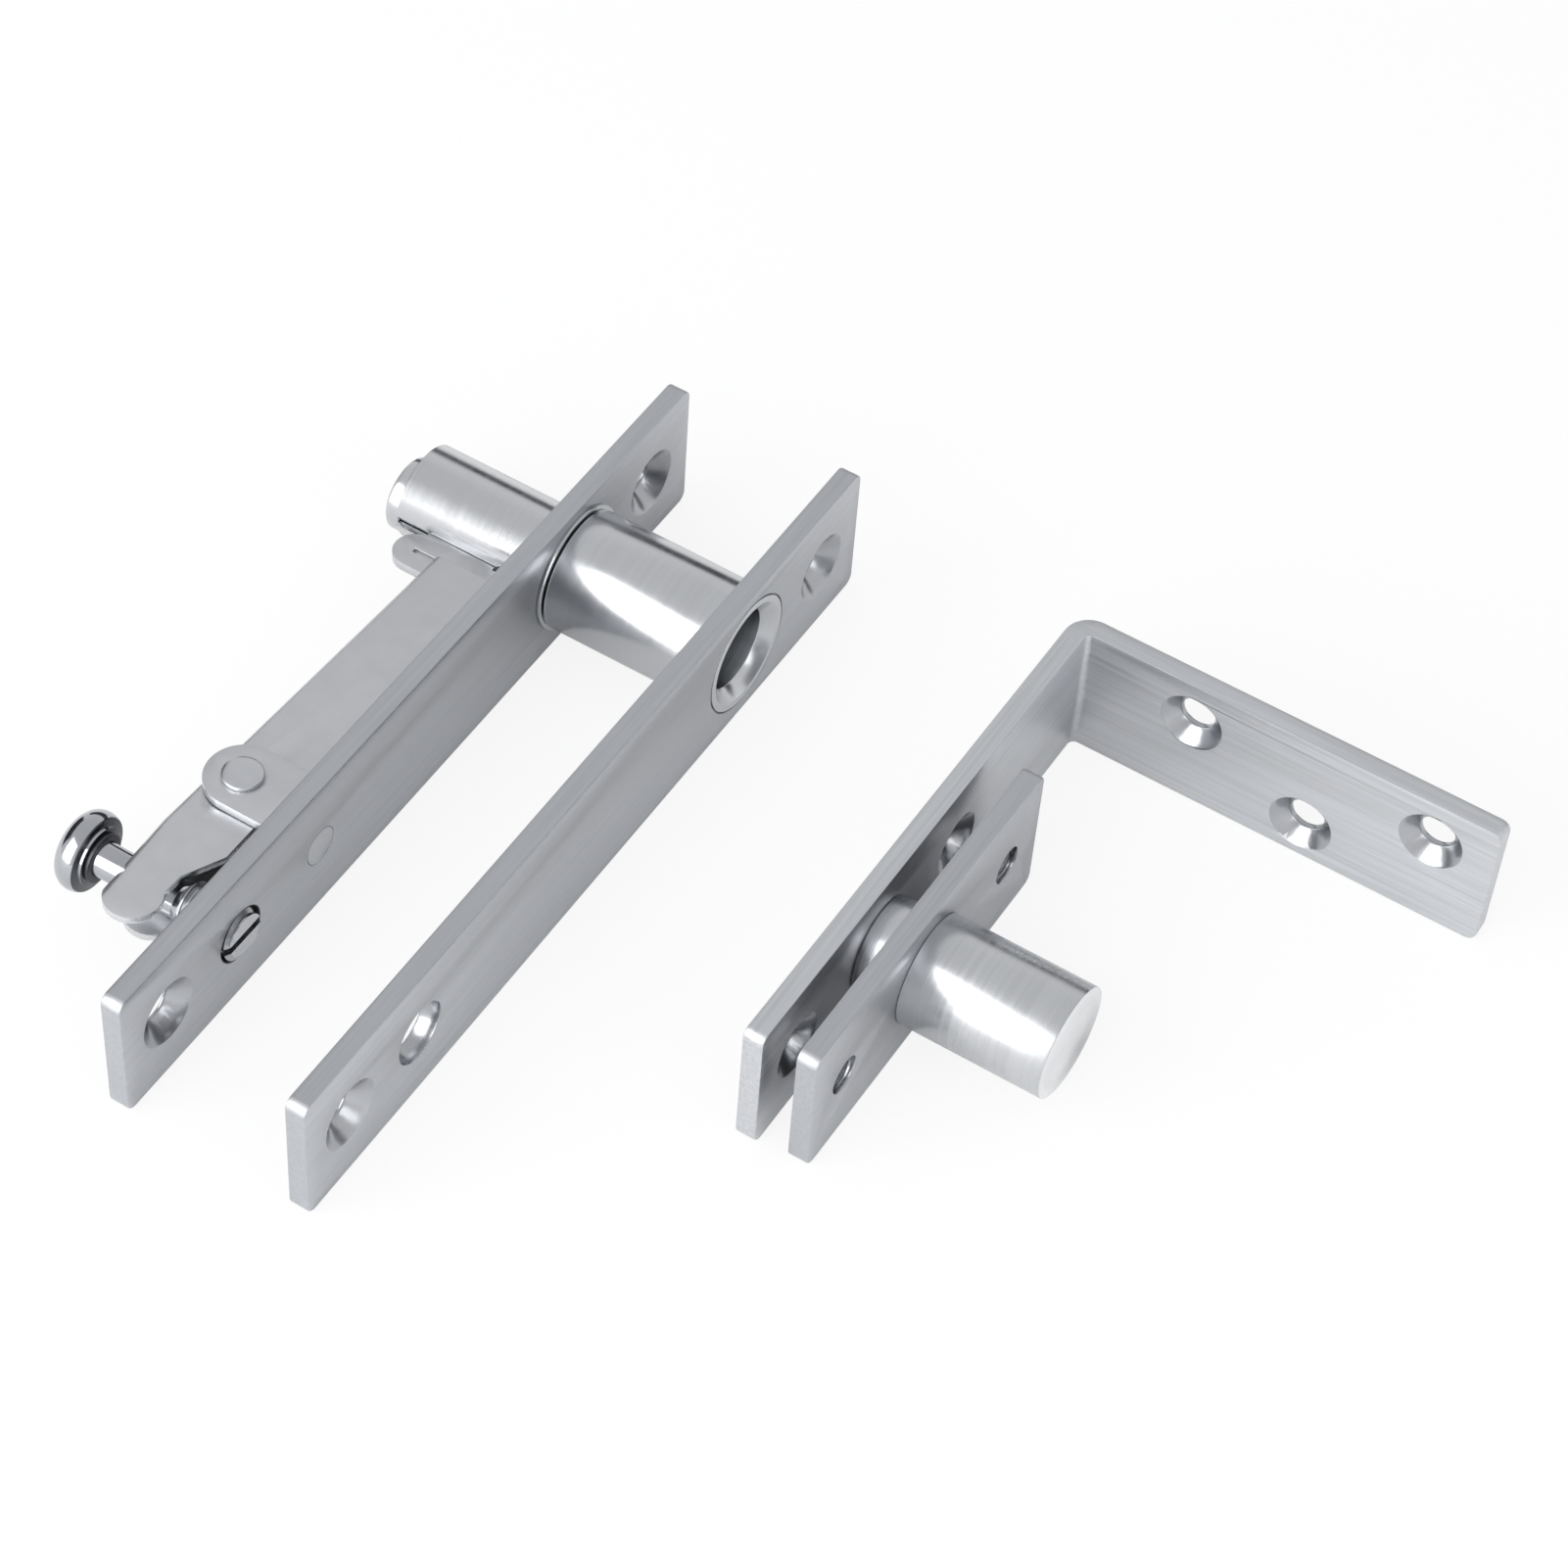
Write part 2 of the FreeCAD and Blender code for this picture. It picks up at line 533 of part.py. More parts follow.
def cheek_outline(body, name, reach, offset, waist=()):
    """One cheek of the lever, seen from above, with its round end beyond the screw.

    The waist holds the corners between the round end and the slanted front edge.
    """
    front, depth = LEVER_FRONT, "Sizes.lever_depth"
    bend_y = f"({SCREW_Y} + Sizes.lever_bend)"
    lobe_x, lobe_y = f"({FULCRUM_X} - Sizes.lobe_shift)", f"({SCREW_Y} - {reach})"
    side = "(Sizes.lobe_radius * cos(Sizes.lobe_shoulder))"
    rise = "(Sizes.lobe_radius * sin(Sizes.lobe_shoulder))"
    return outline(body, name, "XY_Plane", [
        (f"{front} - Sizes.lever_far_depth", LEVER_END),
        (f"{front} - {depth}", bend_y),
        (f"{front} - {depth} + Sizes.edge_break", f"{lobe_y} + {rise} + Sizes.lever_sheet"),
        (f"{lobe_x} - {side}", f"{lobe_y} + {rise}", "Sizes.lobe_radius"),
        (lobe_x, f"{lobe_y} - Sizes.lobe_radius", "Sizes.lobe_radius"),
        (f"{lobe_x} + {side}", f"{lobe_y} + {rise}"),
        *waist,
        (front, f"{bend_y} - Sizes.nose_corner"),
        (front, f"{FULCRUM_Y} - {half('fulcrum_diameter')}"),
        (LEVER_FAR_FRONT, f"{FULCRUM_Y} + {half('fulcrum_diameter')}"),
        (LEVER_FAR_FRONT, LEVER_END),
    ], offset)


def lever():
    """The rocking lever: a folded channel, open to the plate, tapered to its far end."""
    body = new_body("lever", "0", "0", MIDDLE_Z)
    inside = "(Sizes.lever_height / 2 - Sizes.lever_sheet)"
    waist = [(f"{LEVER_FRONT} - Sizes.nose_slant", f"{SCREW_Y} + Sizes.nose_corner")]
    upper = cheek_outline(body, "upper_cheek", "Sizes.lobe_reach", inside, waist)
    pad(body, upper, "Sizes.lever_sheet", symmetric=False)
    back = f"({LEVER_FRONT} - Sizes.lever_depth)"
    far_back = f"({LEVER_FRONT} - Sizes.lever_far_depth)"
    bend_y = f"({SCREW_Y} + Sizes.lever_bend)"
    web_far = f"({LEVER_END} - Sizes.web_end)"
    share = f"(({web_far} - {bend_y}) / ({LEVER_END} - {bend_y}))"
    web_back = f"({back} + ({far_back} - {back}) * {share})"
    web = outline(body, "lever_web", "XY_Plane", [
        (web_back, web_far),
        (back, bend_y),
        (f"{back} + Sizes.lever_sheet", bend_y),
        (f"{web_back} + Sizes.lever_sheet", web_far),
    ])
    pad(body, web, "Sizes.lever_height")
    lower = cheek_outline(body, "lower_cheek", "Sizes.lower_lobe_reach", f"0 - Sizes.lever_height / 2")
    pad(body, lower, "Sizes.lever_sheet", symmetric=False)

    def on_fold(edge):
        """The two long outer edges where the sheet is folded."""
        middle = edge.CenterOfMass
        high = abs(abs(middle.z) - value(half("lever_height"))) < 0.01
        behind = value(back) - 0.01 < middle.x < value(far_back) + 0.01
        return high and behind and edge.Length > value(half("plate_length")) / 2

    trim_edges(body, "lever_folds", "Sizes.lever_fold", on_fold)
    bores = circles(body, "lever_bores", "XY_Plane", [
        (FULCRUM_X, FULCRUM_Y, f"{half('fulcrum_diameter')} + Sizes.running_clearance"),
        (CROSS_X, CROSS_Y, half("cross_pin_diameter")),
    ])
    pocket(body, bores)


def cross_pin():
    """The pin across the far end of the lever, flush with both cheeks."""
    body = new_body("cross_pin", CROSS_X, CROSS_Y, MIDDLE_Z)
    sketch = circles(body, "cross_section", "XY_Plane", [("0", "0", half("cross_pin_diameter"))])
    pad(body, sketch, "Sizes.lever_height")


def lever_bracket():
    """The clevis on the back of the frame plate, with two round-nosed ears for the lever."""
    body = new_body("lever_bracket", FULCRUM_X, FULCRUM_Y, MIDDLE_Z)
    nose, seat = "Sizes.bracket_nose", "Sizes.fulcrum_standoff"
    ears = outline(body, "ear_outline", "XY_Plane", [
        ("0", nose, nose),
        (f"0 - {nose}", "0", nose),
        ("0", f"0 - {nose}"),
        (seat, f"0 - {nose}"),
        (seat, nose),
    ])
    pad(body, ears, f"2 * {EAR_OUTSIDE}")
    floor = f"({seat} - Sizes.bracket_sheet)"
    space = outline(body, "lever_space", "XY_Plane", [
        (f"0 - {nose} - 1", f"0 - {nose} - 1"),
        (floor, f"0 - {nose} - 1"),
        (floor, f"{nose} + 1"),
        (f"0 - {nose} - 1", f"{nose} + 1"),
    ])
    pocket(body, space, f"2 * {EAR_INSIDE}")

    def on_fold(edge):
        """The two outer edges between the ears and the base of the clevis."""
        middle = edge.CenterOfMass
        at_seat = abs(middle.x - value(seat)) < 0.01
        return at_seat and abs(abs(middle.z) - value(EAR_OUTSIDE)) < 0.01

    trim_edges(body, "clevis_folds", "Sizes.lever_fold", on_fold)
    pocket(body, circles(body, "ear_bores", "XY_Plane", [("0", "0", half("fulcrum_diameter"))]))
    rivet = circles(body, "base_bore", "YZ_Plane", [("0", "0", half("bracket_rivet_diameter"))], seat)
    pocket(body, rivet, "2 * Sizes.bracket_sheet")


def fulcrum_rivet():
    """The rivet that the lever rocks on, with a flat head on each ear."""
    body = new_body("fulcrum_rivet", FULCRUM_X, FULCRUM_Y, MIDDLE_Z)
    shank, head = half("fulcrum_diameter"), half("fulcrum_head")
    top = f"({EAR_OUTSIDE} + Sizes.fulcrum_head_height)"
    turn(body, [
        ("0", f"0 - {top}"),
        (head, f"0 - {top}"),
        (head, f"0 - {EAR_OUTSIDE}"),
        (shank, f"0 - {EAR_OUTSIDE}"),
        (shank, EAR_OUTSIDE),
        (head, EAR_OUTSIDE),
        (head, top),
        ("0", top),
    ], "XZ_Plane", "V_Axis")


def bracket_rivet():
    """The rivet through plate and clevis, flush in the face of the plate."""
    body = new_body("bracket_rivet", "0", FULCRUM_Y, MIDDLE_Z)
    shank, head = half("bracket_rivet_diameter"), half("bracket_rivet_head")
    height = "Sizes.bracket_rivet_height"
    inner = f"({BACK} - Sizes.bracket_sheet)"
    turn(body, [
        (FRONT, "0"),
        (FRONT, shank),
        (inner, shank),
        (inner, head),
        (f"{inner} - {height}", f"{head} - {height}"),
        (f"{inner} - {height}", "0"),
    ])


def screw_stations():
    """Places along the adjusting screw: end, shoulder, cone, washer face, collar, knob."""
    end = f"({FRONT} - Sizes.screw_recess)"
    shoulder = f"({BACK} - Sizes.thread_shoulder)"
    cone = f"({shoulder} - Sizes.thread_runout)"
    washer = f"({cone} - Sizes.neck_length)"
    collar = f"({washer} - Sizes.washer_thickness - Sizes.running_clearance)"
    knob = f"({collar} - Sizes.collar_length)"
    return end, shoulder, cone, washer, collar, knob


def adjusting_screw():
    """The screw with a slotted end in the plate, a neck between the cheeks and a round knob."""
    body = new_body("adjusting_screw", "0", SCREW_Y, MIDDLE_Z)
    end, shoulder, cone, _, collar, knob = screw_stations()
    thread, neck, small = half("thread_diameter"), half("neck_diameter"), "Sizes.edge_break"
    rim, face_angle = "Sizes.knob_rim", "Sizes.knob_face_angle"
    middle_x, middle_r = f"({knob} - {rim} * sin({face_angle}))", f"({half('knob_diameter')} - {rim})"
    rim_points = []
    for step in range(RIM_CONES + 1):
        angle = f"({face_angle} - ({face_angle} + 90) * {step} / {RIM_CONES})"
        rim_points.append((f"{middle_x} + {rim} * sin({angle})", f"{middle_r} + {rim} * cos({angle})"))
    turn(body, [
        (end, "0"),
        (end, f"{thread} - {small}"),
        (f"{end} - {small}", thread),
        (shoulder, thread),
        (cone, neck),
        (collar, neck),
        (collar, half("collar_diameter")),
        (knob, half("collar_diameter")),
        *rim_points,
        (f"{middle_x} - {rim}", "0"),
    ])
    slot = outline(body, "driver_slot", "XZ_Plane", [
        (f"{end} - Sizes.slot_depth", f"0 - {half('slot_width')}"),
        (f"{end} + 1", f"0 - {half('slot_width')}"),
        (f"{end} + 1", half("slot_width")),
        (f"{end} - Sizes.slot_depth", half("slot_width")),
    ])
    pocket(body, slot)


def thrust_washer():
    """The loose washer on the neck, which presses on the cheeks when the screw is driven in."""
    body = new_body("thrust_washer", "0", SCREW_Y, MIDDLE_Z)
    face = screw_stations()[3]
    rear = f"({face} - Sizes.washer_thickness)"
    bore = f"({half('neck_diameter')} + Sizes.running_clearance)"
    turn(body, [
        (face, bore),
        (face, half("washer_diameter")),
        (rear, half("washer_diameter")),
        (rear, bore),
    ])


# Bottom unit. Its pieces are placed from the inner face of the bracket's long arm.


def floor_bracket():
    """The bent bracket: the long arm carries the pin, the short arm three countersunk holes."""
    body = new_body("floor_bracket", STAND_X, STAND_Y)
    sheet_t = "Sizes.plate_thickness"
    inner_y, end_x = f"(Sizes.long_arm - {sheet_t})", f"(Sizes.short_arm - {sheet_t})"
    inside, outside = "Sizes.bend_inside", "Sizes.bend_outside"
    shape = outline(body, "bracket_outline", "XY_Plane", [
        (f"0 - {sheet_t}", "0"),
        ("0", "0"),
        ("0", f"{inner_y} - {inside}", f"0 - {inside}"),
        (inside, inner_y),
        (end_x, inner_y),
        (end_x, "Sizes.long_arm"),
        (f"{outside} - {sheet_t}", "Sizes.long_arm", outside),
        (f"0 - {sheet_t}", f"Sizes.long_arm - {outside}"),
    ])
    pad(body, shape, "Sizes.plate_width", symmetric=False)

    def at_corner(edge):
        """The short edges across the sheet at the free end of each arm."""
        middle = edge.CenterOfMass
        at_edge = min(middle.z, value("Sizes.plate_width") - middle.z) < 0.01
        near_end = middle.y < 0.01
        far_end = middle.x > value(end_x) - 0.01
        return at_edge and (near_end or far_end) and edge.Length < value(sheet_t) + 0.01

    trim_edges(body, "arm_corners", "Sizes.corner_radius", at_corner)
    bore = half("bracket_hole")
    first = f"(Sizes.bracket_hole_first - {sheet_t})"
    short_arm = circles(body, "short_arm_screws", "XZ_Plane", [
        (first, "Sizes.bracket_hole_high", bore),
        (f"{first} + Sizes.bracket_hole_pitch", "Sizes.bracket_hole_low", bore),
        (f"{first} + 2 * Sizes.bracket_hole_pitch", "Sizes.bracket_hole_high", bore),
    ], f"0 - {inner_y}")
    countersunk(body, short_arm, "Sizes.bracket_hole", "Sizes.bracket_head")
    setback, pitch = "Sizes.bottom_pin_setback", half("bracket_base_pitch")
    long_arm = circles(body, "long_arm_screws", "YZ_Plane", [
        (f"{setback} - {pitch}", MIDDLE_Z, bore),
        (f"{setback} + {pitch}", MIDDLE_Z, bore),
    ])
    countersunk(body, long_arm, "Sizes.bracket_hole", "Sizes.bracket_head")
    pin = circles(body, "pin_seat", "YZ_Plane", [(setback, MIDDLE_Z, half("bottom_pin_diameter"))])
    pocket(body, pin, f"2 * {sheet_t}")


def bottom_stations():
    """Places along the bottom pin: back and face of the door plate, end and floor of the cup, disc."""
    back = "Sizes.bottom_gap"
    face = f"({back} + Sizes.plate_thickness)"
    end = f"({face} + Sizes.cup_length)"
    floor = f"({end} - Sizes.cup_floor)"
    disc = f"({floor} - Sizes.thrust_disc_thickness)"
    return back, face, end, floor, disc


def bottom_pin():
    """The fixed pin of the bracket, which ends just short of the disc."""
    body = new_body("bottom_pin", STAND_X, BOTTOM_PIN_Y, MIDDLE_Z)
    nose = f"({bottom_stations()[4]} - Sizes.running_clearance)"
    radius, lead, seat = half("bottom_pin_diameter"), "Sizes.pin_lead", "(0 - Sizes.plate_thickness)"
    turn(body, [
        (nose, "0"),
        (nose, f"{radius} - {lead}"),
        (f"{nose} - {lead}", radius),
        (seat, radius),
        (seat, "0"),
    ])


def spacer_washer():
    """The washer that keeps the door plate off the bracket."""
    body = new_body("spacer_washer", STAND_X, BOTTOM_PIN_Y, MIDDLE_Z)
    face = "(Sizes.bottom_gap - Sizes.face_clearance)"
    turn(body, [
        (face, half("bottom_pin_diameter")),
        (face, half("spacer_diameter")),
        ("0", half("spacer_diameter")),
        ("0", half("bottom_pin_diameter")),
    ])


def bottom_door_plate():
    """The short plate under the door, countersunk on the side of the bracket."""
    body = new_body("bottom_door_plate", STAND_X, BOTTOM_PIN_Y)
    back, face = bottom_stations()[:2]
    reach = half("bottom_plate_length")
    shape = plate_outline(body, "YZ_Plane", f"(0 - {reach})", reach)
    shape.setExpression("AttachmentOffset.Base.z", back)
    pad(body, shape, "Sizes.plate_thickness", symmetric=False)
    screw_y, bore = f"({reach} - Sizes.bottom_screw_inset)", half("bottom_screw_hole")
    screws = [(screw_y, MIDDLE_Z, bore), (f"0 - {screw_y}", MIDDLE_Z, bore)]
    sketch = circles(body, "bottom_screws", "YZ_Plane", screws, back)
    countersunk(body, sketch, "Sizes.bottom_screw_hole", "Sizes.bracket_head", backwards=True)
    pocket(body, circles(body, "cup_seat", "YZ_Plane", [("0", MIDDLE_Z, half("cup_spigot"))], face))


def bottom_cup():
    """The closed cup that turns on the bottom pin, pressed into the door plate."""
    body = new_body("bottom_cup", STAND_X, BOTTOM_PIN_Y, MIDDLE_Z)
    back, face, end, floor, _ = bottom_stations()
    outer = half("cup_diameter")
    bore = f"({half('bottom_pin_diameter')} + Sizes.running_clearance)"
    turn(body, [
        (end, "0"),
        (end, outer),
        (face, outer),
        (face, half("cup_spigot")),
        (back, half("cup_spigot")),
        (back, bore),
        (floor, bore),
        (floor, "0"),
    ])


def thrust_disc():
    """The disc that carries the door, seated in the closed end of the cup."""
    body = new_body("thrust_disc", STAND_X, BOTTOM_PIN_Y, MIDDLE_Z)
    floor, face = bottom_stations()[3:]
    radius = half("bottom_pin_diameter")
    turn(body, [
        (floor, "0"),
        (floor, radius),
        (face, radius),
        (face, "0"),
    ])


PIECES = [
    frame_plate, pin_sleeve, pivot_pin, drive_key, key_pin,
    lever, cross_pin, lever_bracket, fulcrum_rivet, bracket_rivet,
    adjusting_screw, thrust_washer, door_plate, top_bush,
    floor_bracket, bottom_pin, spacer_washer,
    bottom_door_plate, bottom_cup, thrust_disc,
]
for make in PIECES:
    make()
doc.recompute()

bodies = [item for item in doc.Objects if item.TypeId == "PartDesign::Body"]
for item in doc.Objects:
    if "Invalid" in item.State or "Error" in item.State:
        raise RuntimeError(f"{item.Label} failed: {item.State}")
for body in bodies:
    if body.Shape.isNull() or not body.Shape.isValid() or len(body.Shape.Solids) != 1:
        raise RuntimeError(f"{body.Label} is not one sound solid")

os.makedirs("parts", exist_ok=True)
for body in bodies:
    body.Shape.exportStep(f"parts/{body.Label}.step")
    box = body.Shape.BoundBox
    corners = (box.XMin, box.XMax, box.YMin, box.YMax, box.ZMin, box.ZMax)
    print(body.Label, [round(edge, 2) for edge in corners], round(body.Shape.Volume, 1))
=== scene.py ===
# %% [markdown]
# # A pivot hinge for a swing door
#
# The set has two units of brushed stainless steel, laid on their long edges. The top unit is a
# frame plate that carries a pin, a lever and an adjusting screw, with the door plate and its bush
# in front of it. The bottom unit is a bent bracket with a pin, on which a short door plate turns.
#
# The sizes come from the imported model, the frame. This lesson dresses each of its pieces: broken
# edges, a cut thread, turned faces, and steel that is brushed, pressed, turned or polished.
#
# Blender measures in metres and a fitter in millimetres, so the sizes of the set are written in
# millimetres and multiplied by MM where Blender needs it. Only the studio around it is in metres.

# %% Load the frame
import json
import math

import bpy
from mathutils import Matrix, Vector


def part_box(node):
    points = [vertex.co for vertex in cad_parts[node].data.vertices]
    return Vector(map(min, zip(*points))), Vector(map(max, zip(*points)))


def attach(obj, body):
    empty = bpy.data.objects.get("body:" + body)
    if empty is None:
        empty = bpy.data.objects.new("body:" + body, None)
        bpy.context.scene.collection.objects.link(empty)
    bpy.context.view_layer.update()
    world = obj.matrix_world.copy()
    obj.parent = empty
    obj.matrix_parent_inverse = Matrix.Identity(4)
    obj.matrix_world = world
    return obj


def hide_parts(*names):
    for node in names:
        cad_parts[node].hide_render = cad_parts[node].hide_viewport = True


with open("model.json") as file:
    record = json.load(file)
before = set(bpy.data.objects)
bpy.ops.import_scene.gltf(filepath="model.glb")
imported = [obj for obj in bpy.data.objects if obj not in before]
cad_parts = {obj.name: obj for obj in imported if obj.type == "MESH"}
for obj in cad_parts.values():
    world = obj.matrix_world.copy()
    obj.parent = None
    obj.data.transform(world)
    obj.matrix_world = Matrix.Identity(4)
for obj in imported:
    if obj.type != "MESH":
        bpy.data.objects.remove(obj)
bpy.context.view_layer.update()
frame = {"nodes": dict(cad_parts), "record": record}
MM = 0.001

# %% [markdown]
# Each piece of the frame belongs to a body, which moves it, and to a slot, which names its finish.
# The record holds both lists. The bodies could be typed here again, but they are read from it, and
# a list that is read can't disagree with it.

# %% Read the bodies from the record
record = frame["record"]
BODY_OF = {
    node: body for body, nodes in record["behaviour"]["bodies"].items() for node in nodes
}

# %% [markdown]
# ## The camera
#
# The photograph looks down at the set from the front and a little from the right, through a long
# lens. The camera is described as a photographer would: what it aims at, how far away it stands,
# from which side, how high, and how much it is tilted. A matrix turns those five values into a
# place and a rotation, which is safer than guessing Euler angles.

# %% Place the camera
AIM = Vector((45.64, 19.94, 11.0)) * MM
DISTANCE = 600.8 * MM
AZIMUTH, ELEVATION, ROLL = math.radians(28.17), math.radians(50.33), math.radians(4.91)
LENS = 104.3

back = Vector((
    math.sin(AZIMUTH) * math.cos(ELEVATION),
    -math.cos(AZIMUTH) * math.cos(ELEVATION),
    math.sin(ELEVATION),
))
right = Vector((math.cos(AZIMUTH), math.sin(AZIMUTH), 0))
up = back.cross(right)
facing = Matrix((right, up, back)).transposed() @ Matrix.Rotation(ROLL, 3, "Z")
camera_data = bpy.data.cameras.new("camera")
camera_data.lens = LENS
camera_data.clip_start, camera_data.clip_end = 0.01, 10
camera = bpy.data.objects.new("camera", camera_data)
camera.matrix_world = Matrix.Translation(AIM + back * DISTANCE) @ facing.to_4x4()
bpy.context.collection.objects.link(camera)
bpy.context.scene.camera = camera
print("camera stands at", [round(part / MM) for part in camera.location], "mm")

# %% [markdown]
# ## The studio
#
# Bare steel has little colour of its own: it shows the room. So the room matters more than the
# paint. The floor is white, the world fades from a white horizon to a greyer ceiling, one large
# soft box stands low in front and gives the round pieces their white band, and two dark cards draw
# thin dark lines in them.
#
# First come three small helpers. An operator acts on all that is selected, so each step starts
# from a clean selection.

# %% Helpers for selection, materials and nodes
def select_only(*objects):
    """Deselects everything, then selects these objects and makes the first one active."""
    for other in list(bpy.context.selected_objects):
        other.select_set(False)
    for thing in objects:
        thing.select_set(True)
    if objects:
        bpy.context.view_layer.objects.active = objects[0]


def new_material(name):
    """A node material, with its tree, its shader and its output."""
    material = bpy.data.materials.new(name)
    material.use_nodes = True
    tree = material.node_tree
    return material, tree, tree.nodes["Principled BSDF"], tree.nodes["Material Output"]


def add_node(tree, kind, **values):
    """A new node. Its unlinked inputs are set by name, with _ for a space."""
    node = tree.nodes.new(kind)
    for name, number in values.items():
        node.inputs[name.replace("_", " ")].default_value = number
    return node


scene = bpy.context.scene
scene.view_settings.view_transform = "Standard"
print("view transform:", scene.view_settings.view_transform)

# %% [markdown]
# The set is photographed on white. More lamp light would whiten the floor, but it would burn out
# the steel too. So most of what the camera sees of the floor is a plain glow of strength 1, and the
# rest is ordinary matt paint, which keeps the soft shadow. In the steel the paint has the larger
# share: there the floor is white where it lies open and grey beside the plates, which is what gives
# the plates their calm grey.

# %% How much of the floor is glow
GLOW_TO_CAMERA, GLOW_IN_STEEL = 0.85, 0.12
GLOW_BY_RAY = {
    "Is Camera Ray": GLOW_TO_CAMERA,
    "Is Glossy Ray": GLOW_IN_STEEL,
    "Is Transmission Ray": GLOW_IN_STEEL,
}


def share_of_glow(tree):
    """How much of the floor's look is glow: each kind of ray times its share, added up."""
    path = tree.nodes.new("ShaderNodeLightPath")
    total = None
    for kind, share in GLOW_BY_RAY.items():
        add = tree.nodes.new("ShaderNodeMath")
        add.operation = "MULTIPLY_ADD"
        add.inputs[1].default_value = share
        add.inputs[2].default_value = 0.0
        tree.links.new(path.outputs[kind], add.inputs[0])
        if total:
            tree.links.new(total, add.inputs[2])
        total = add.outputs["Value"]
    return total


print("glow of the floor:", GLOW_BY_RAY)

# %% [markdown]
# The floor is one wide plane. It lies a tenth of a millimetre below the set, because two faces in
# the same place would flicker.

# %% The white floor
FLOOR_SIZE, FLOOR_PLACE = 8, (0.05, 0.0, -0.0001)
FLOOR_PAINT, FLOOR_ROUGHNESS = (0.9, 0.9, 0.9, 1), 0.9


def add_floor():
    """A wide white floor just below the set."""
    select_only()
    bpy.ops.mesh.primitive_plane_add(size=FLOOR_SIZE, location=FLOOR_PLACE)
    floor = bpy.context.active_object
    floor.name = "floor"
    material, tree, shader, output = new_material("floor_white")
    shader.inputs["Base Color"].default_value = FLOOR_PAINT
    shader.inputs["Roughness"].default_value = FLOOR_ROUGHNESS
    shader.inputs["Specular IOR Level"].default_value = 0.0
    glow = add_node(tree, "ShaderNodeEmission", Color=(1, 1, 1, 1), Strength=1.0)
    mix = tree.nodes.new("ShaderNodeMixShader")
    tree.links.new(share_of_glow(tree), mix.inputs["Fac"])
    tree.links.new(shader.outputs["BSDF"], mix.inputs[1])
    tree.links.new(glow.outputs["Emission"], mix.inputs[2])
    tree.links.new(mix.outputs["Shader"], output.inputs["Surface"])
    floor.data.materials.append(material)
    return floor


print("floor:", add_floor().name)

# %% [markdown]
# The room around the set is the world. One plain colour would do, but a real room is brighter at
# the height of its white walls than overhead, and round steel shows that. So the height of the
# direction in which a ray leaves runs through a colour ramp, from white to grey.

# %% The world
HORIZON, CEILING = 0.95, 0.72
CEILING_TINT, CEILING_FROM = (0.98, 0.99, 1.01), 0.75


def add_world():
    """A room that is white at the horizon and a soft grey overhead."""
    world = bpy.data.worlds.new("studio")
    scene.world = world
    world.use_nodes = True
    tree = world.node_tree
    sky = tree.nodes["Background"]
    place = tree.nodes.new("ShaderNodeTexCoord")
    split = tree.nodes.new("ShaderNodeSeparateXYZ")
    ramp = tree.nodes.new("ShaderNodeValToRGB")
    horizon, ceiling = ramp.color_ramp.elements
    horizon.position = 0.0
    horizon.color = (HORIZON, HORIZON, HORIZON, 1)
    ceiling.position = CEILING_FROM
    ceiling.color = (*[CEILING * part for part in CEILING_TINT], 1)
    tree.links.new(place.outputs["Generated"], split.inputs["Vector"])
    tree.links.new(split.outputs["Z"], ramp.inputs["Fac"])
    tree.links.new(ramp.outputs["Color"], sky.inputs["Color"])
    return world


print("world:", add_world().name)

# %% [markdown]
# A soft box is a lamp behind white cloth. The large one stands low in front, so that the pins, the
# bush and the cup show it as a white band, and a weak one on the right lifts their other side. A
# glowing plane would look the same, but an area lamp renders with less noise.

# %% The soft boxes
FRONT_BOX = {"place": (-0.19, -0.62, 0.40), "size": 0.78, "power": 5.6}
SIDE_BOX = {"place": (0.85, -0.25, 0.45), "size": 0.5, "power": 1.0}


def add_softbox(name, place, size, power):
    """A large square lamp that faces the middle of the set."""
    data = bpy.data.lights.new(name, "AREA")
    data.size = size
    data.energy = power
    lamp = bpy.data.objects.new(name, data)
    lamp.location = place
    lamp.rotation_mode = "QUATERNION"
    lamp.rotation_quaternion = (AIM - Vector(place)).to_track_quat("-Z", "Y")
    bpy.context.collection.objects.link(lamp)
    return lamp


lamps = [add_softbox("box_front", **FRONT_BOX), add_softbox("box_side", **SIDE_BOX)]
print("lamps:", [lamp.name for lamp in lamps])

# %% [markdown]
# A photographer gives steel its dark lines with black cards outside the picture. Dark paint on the
# pieces could draw such lines too, but they would stay in place when a piece turns. One card stands
# low behind the set, for the pins, and one to the left, for the knob. The camera doesn't see them,
# and they take no light from the floor.

# %% The dark cards
CARD_BLACK = (0.03, 0.03, 0.035, 1)


def add_card(name, place, width, height, turn):
    """A dark upright card that is seen only in reflections, turned by an angle about Z."""
    select_only()
    bpy.ops.mesh.primitive_plane_add(size=1, location=place, rotation=(math.pi / 2, 0, turn))
    card = bpy.context.active_object
    card.name = name
    card.scale = (width, height, 1)
    material, _, shader, _ = new_material(name)
    shader.inputs["Base Color"].default_value = CARD_BLACK
    shader.inputs["Roughness"].default_value = 1.0
    card.data.materials.append(material)
    card.visible_camera = False
    card.visible_diffuse = False
    card.visible_shadow = False
    return card


cards = [
    add_card("card_behind", (-0.1, 0.9, 0.17), width=1.6, height=0.3, turn=0.0),
    add_card("card_left", (-0.7, 0.1, 0.26), width=0.7, height=0.52, turn=math.pi / 2),
]
print("cards:", [card.name for card in cards])

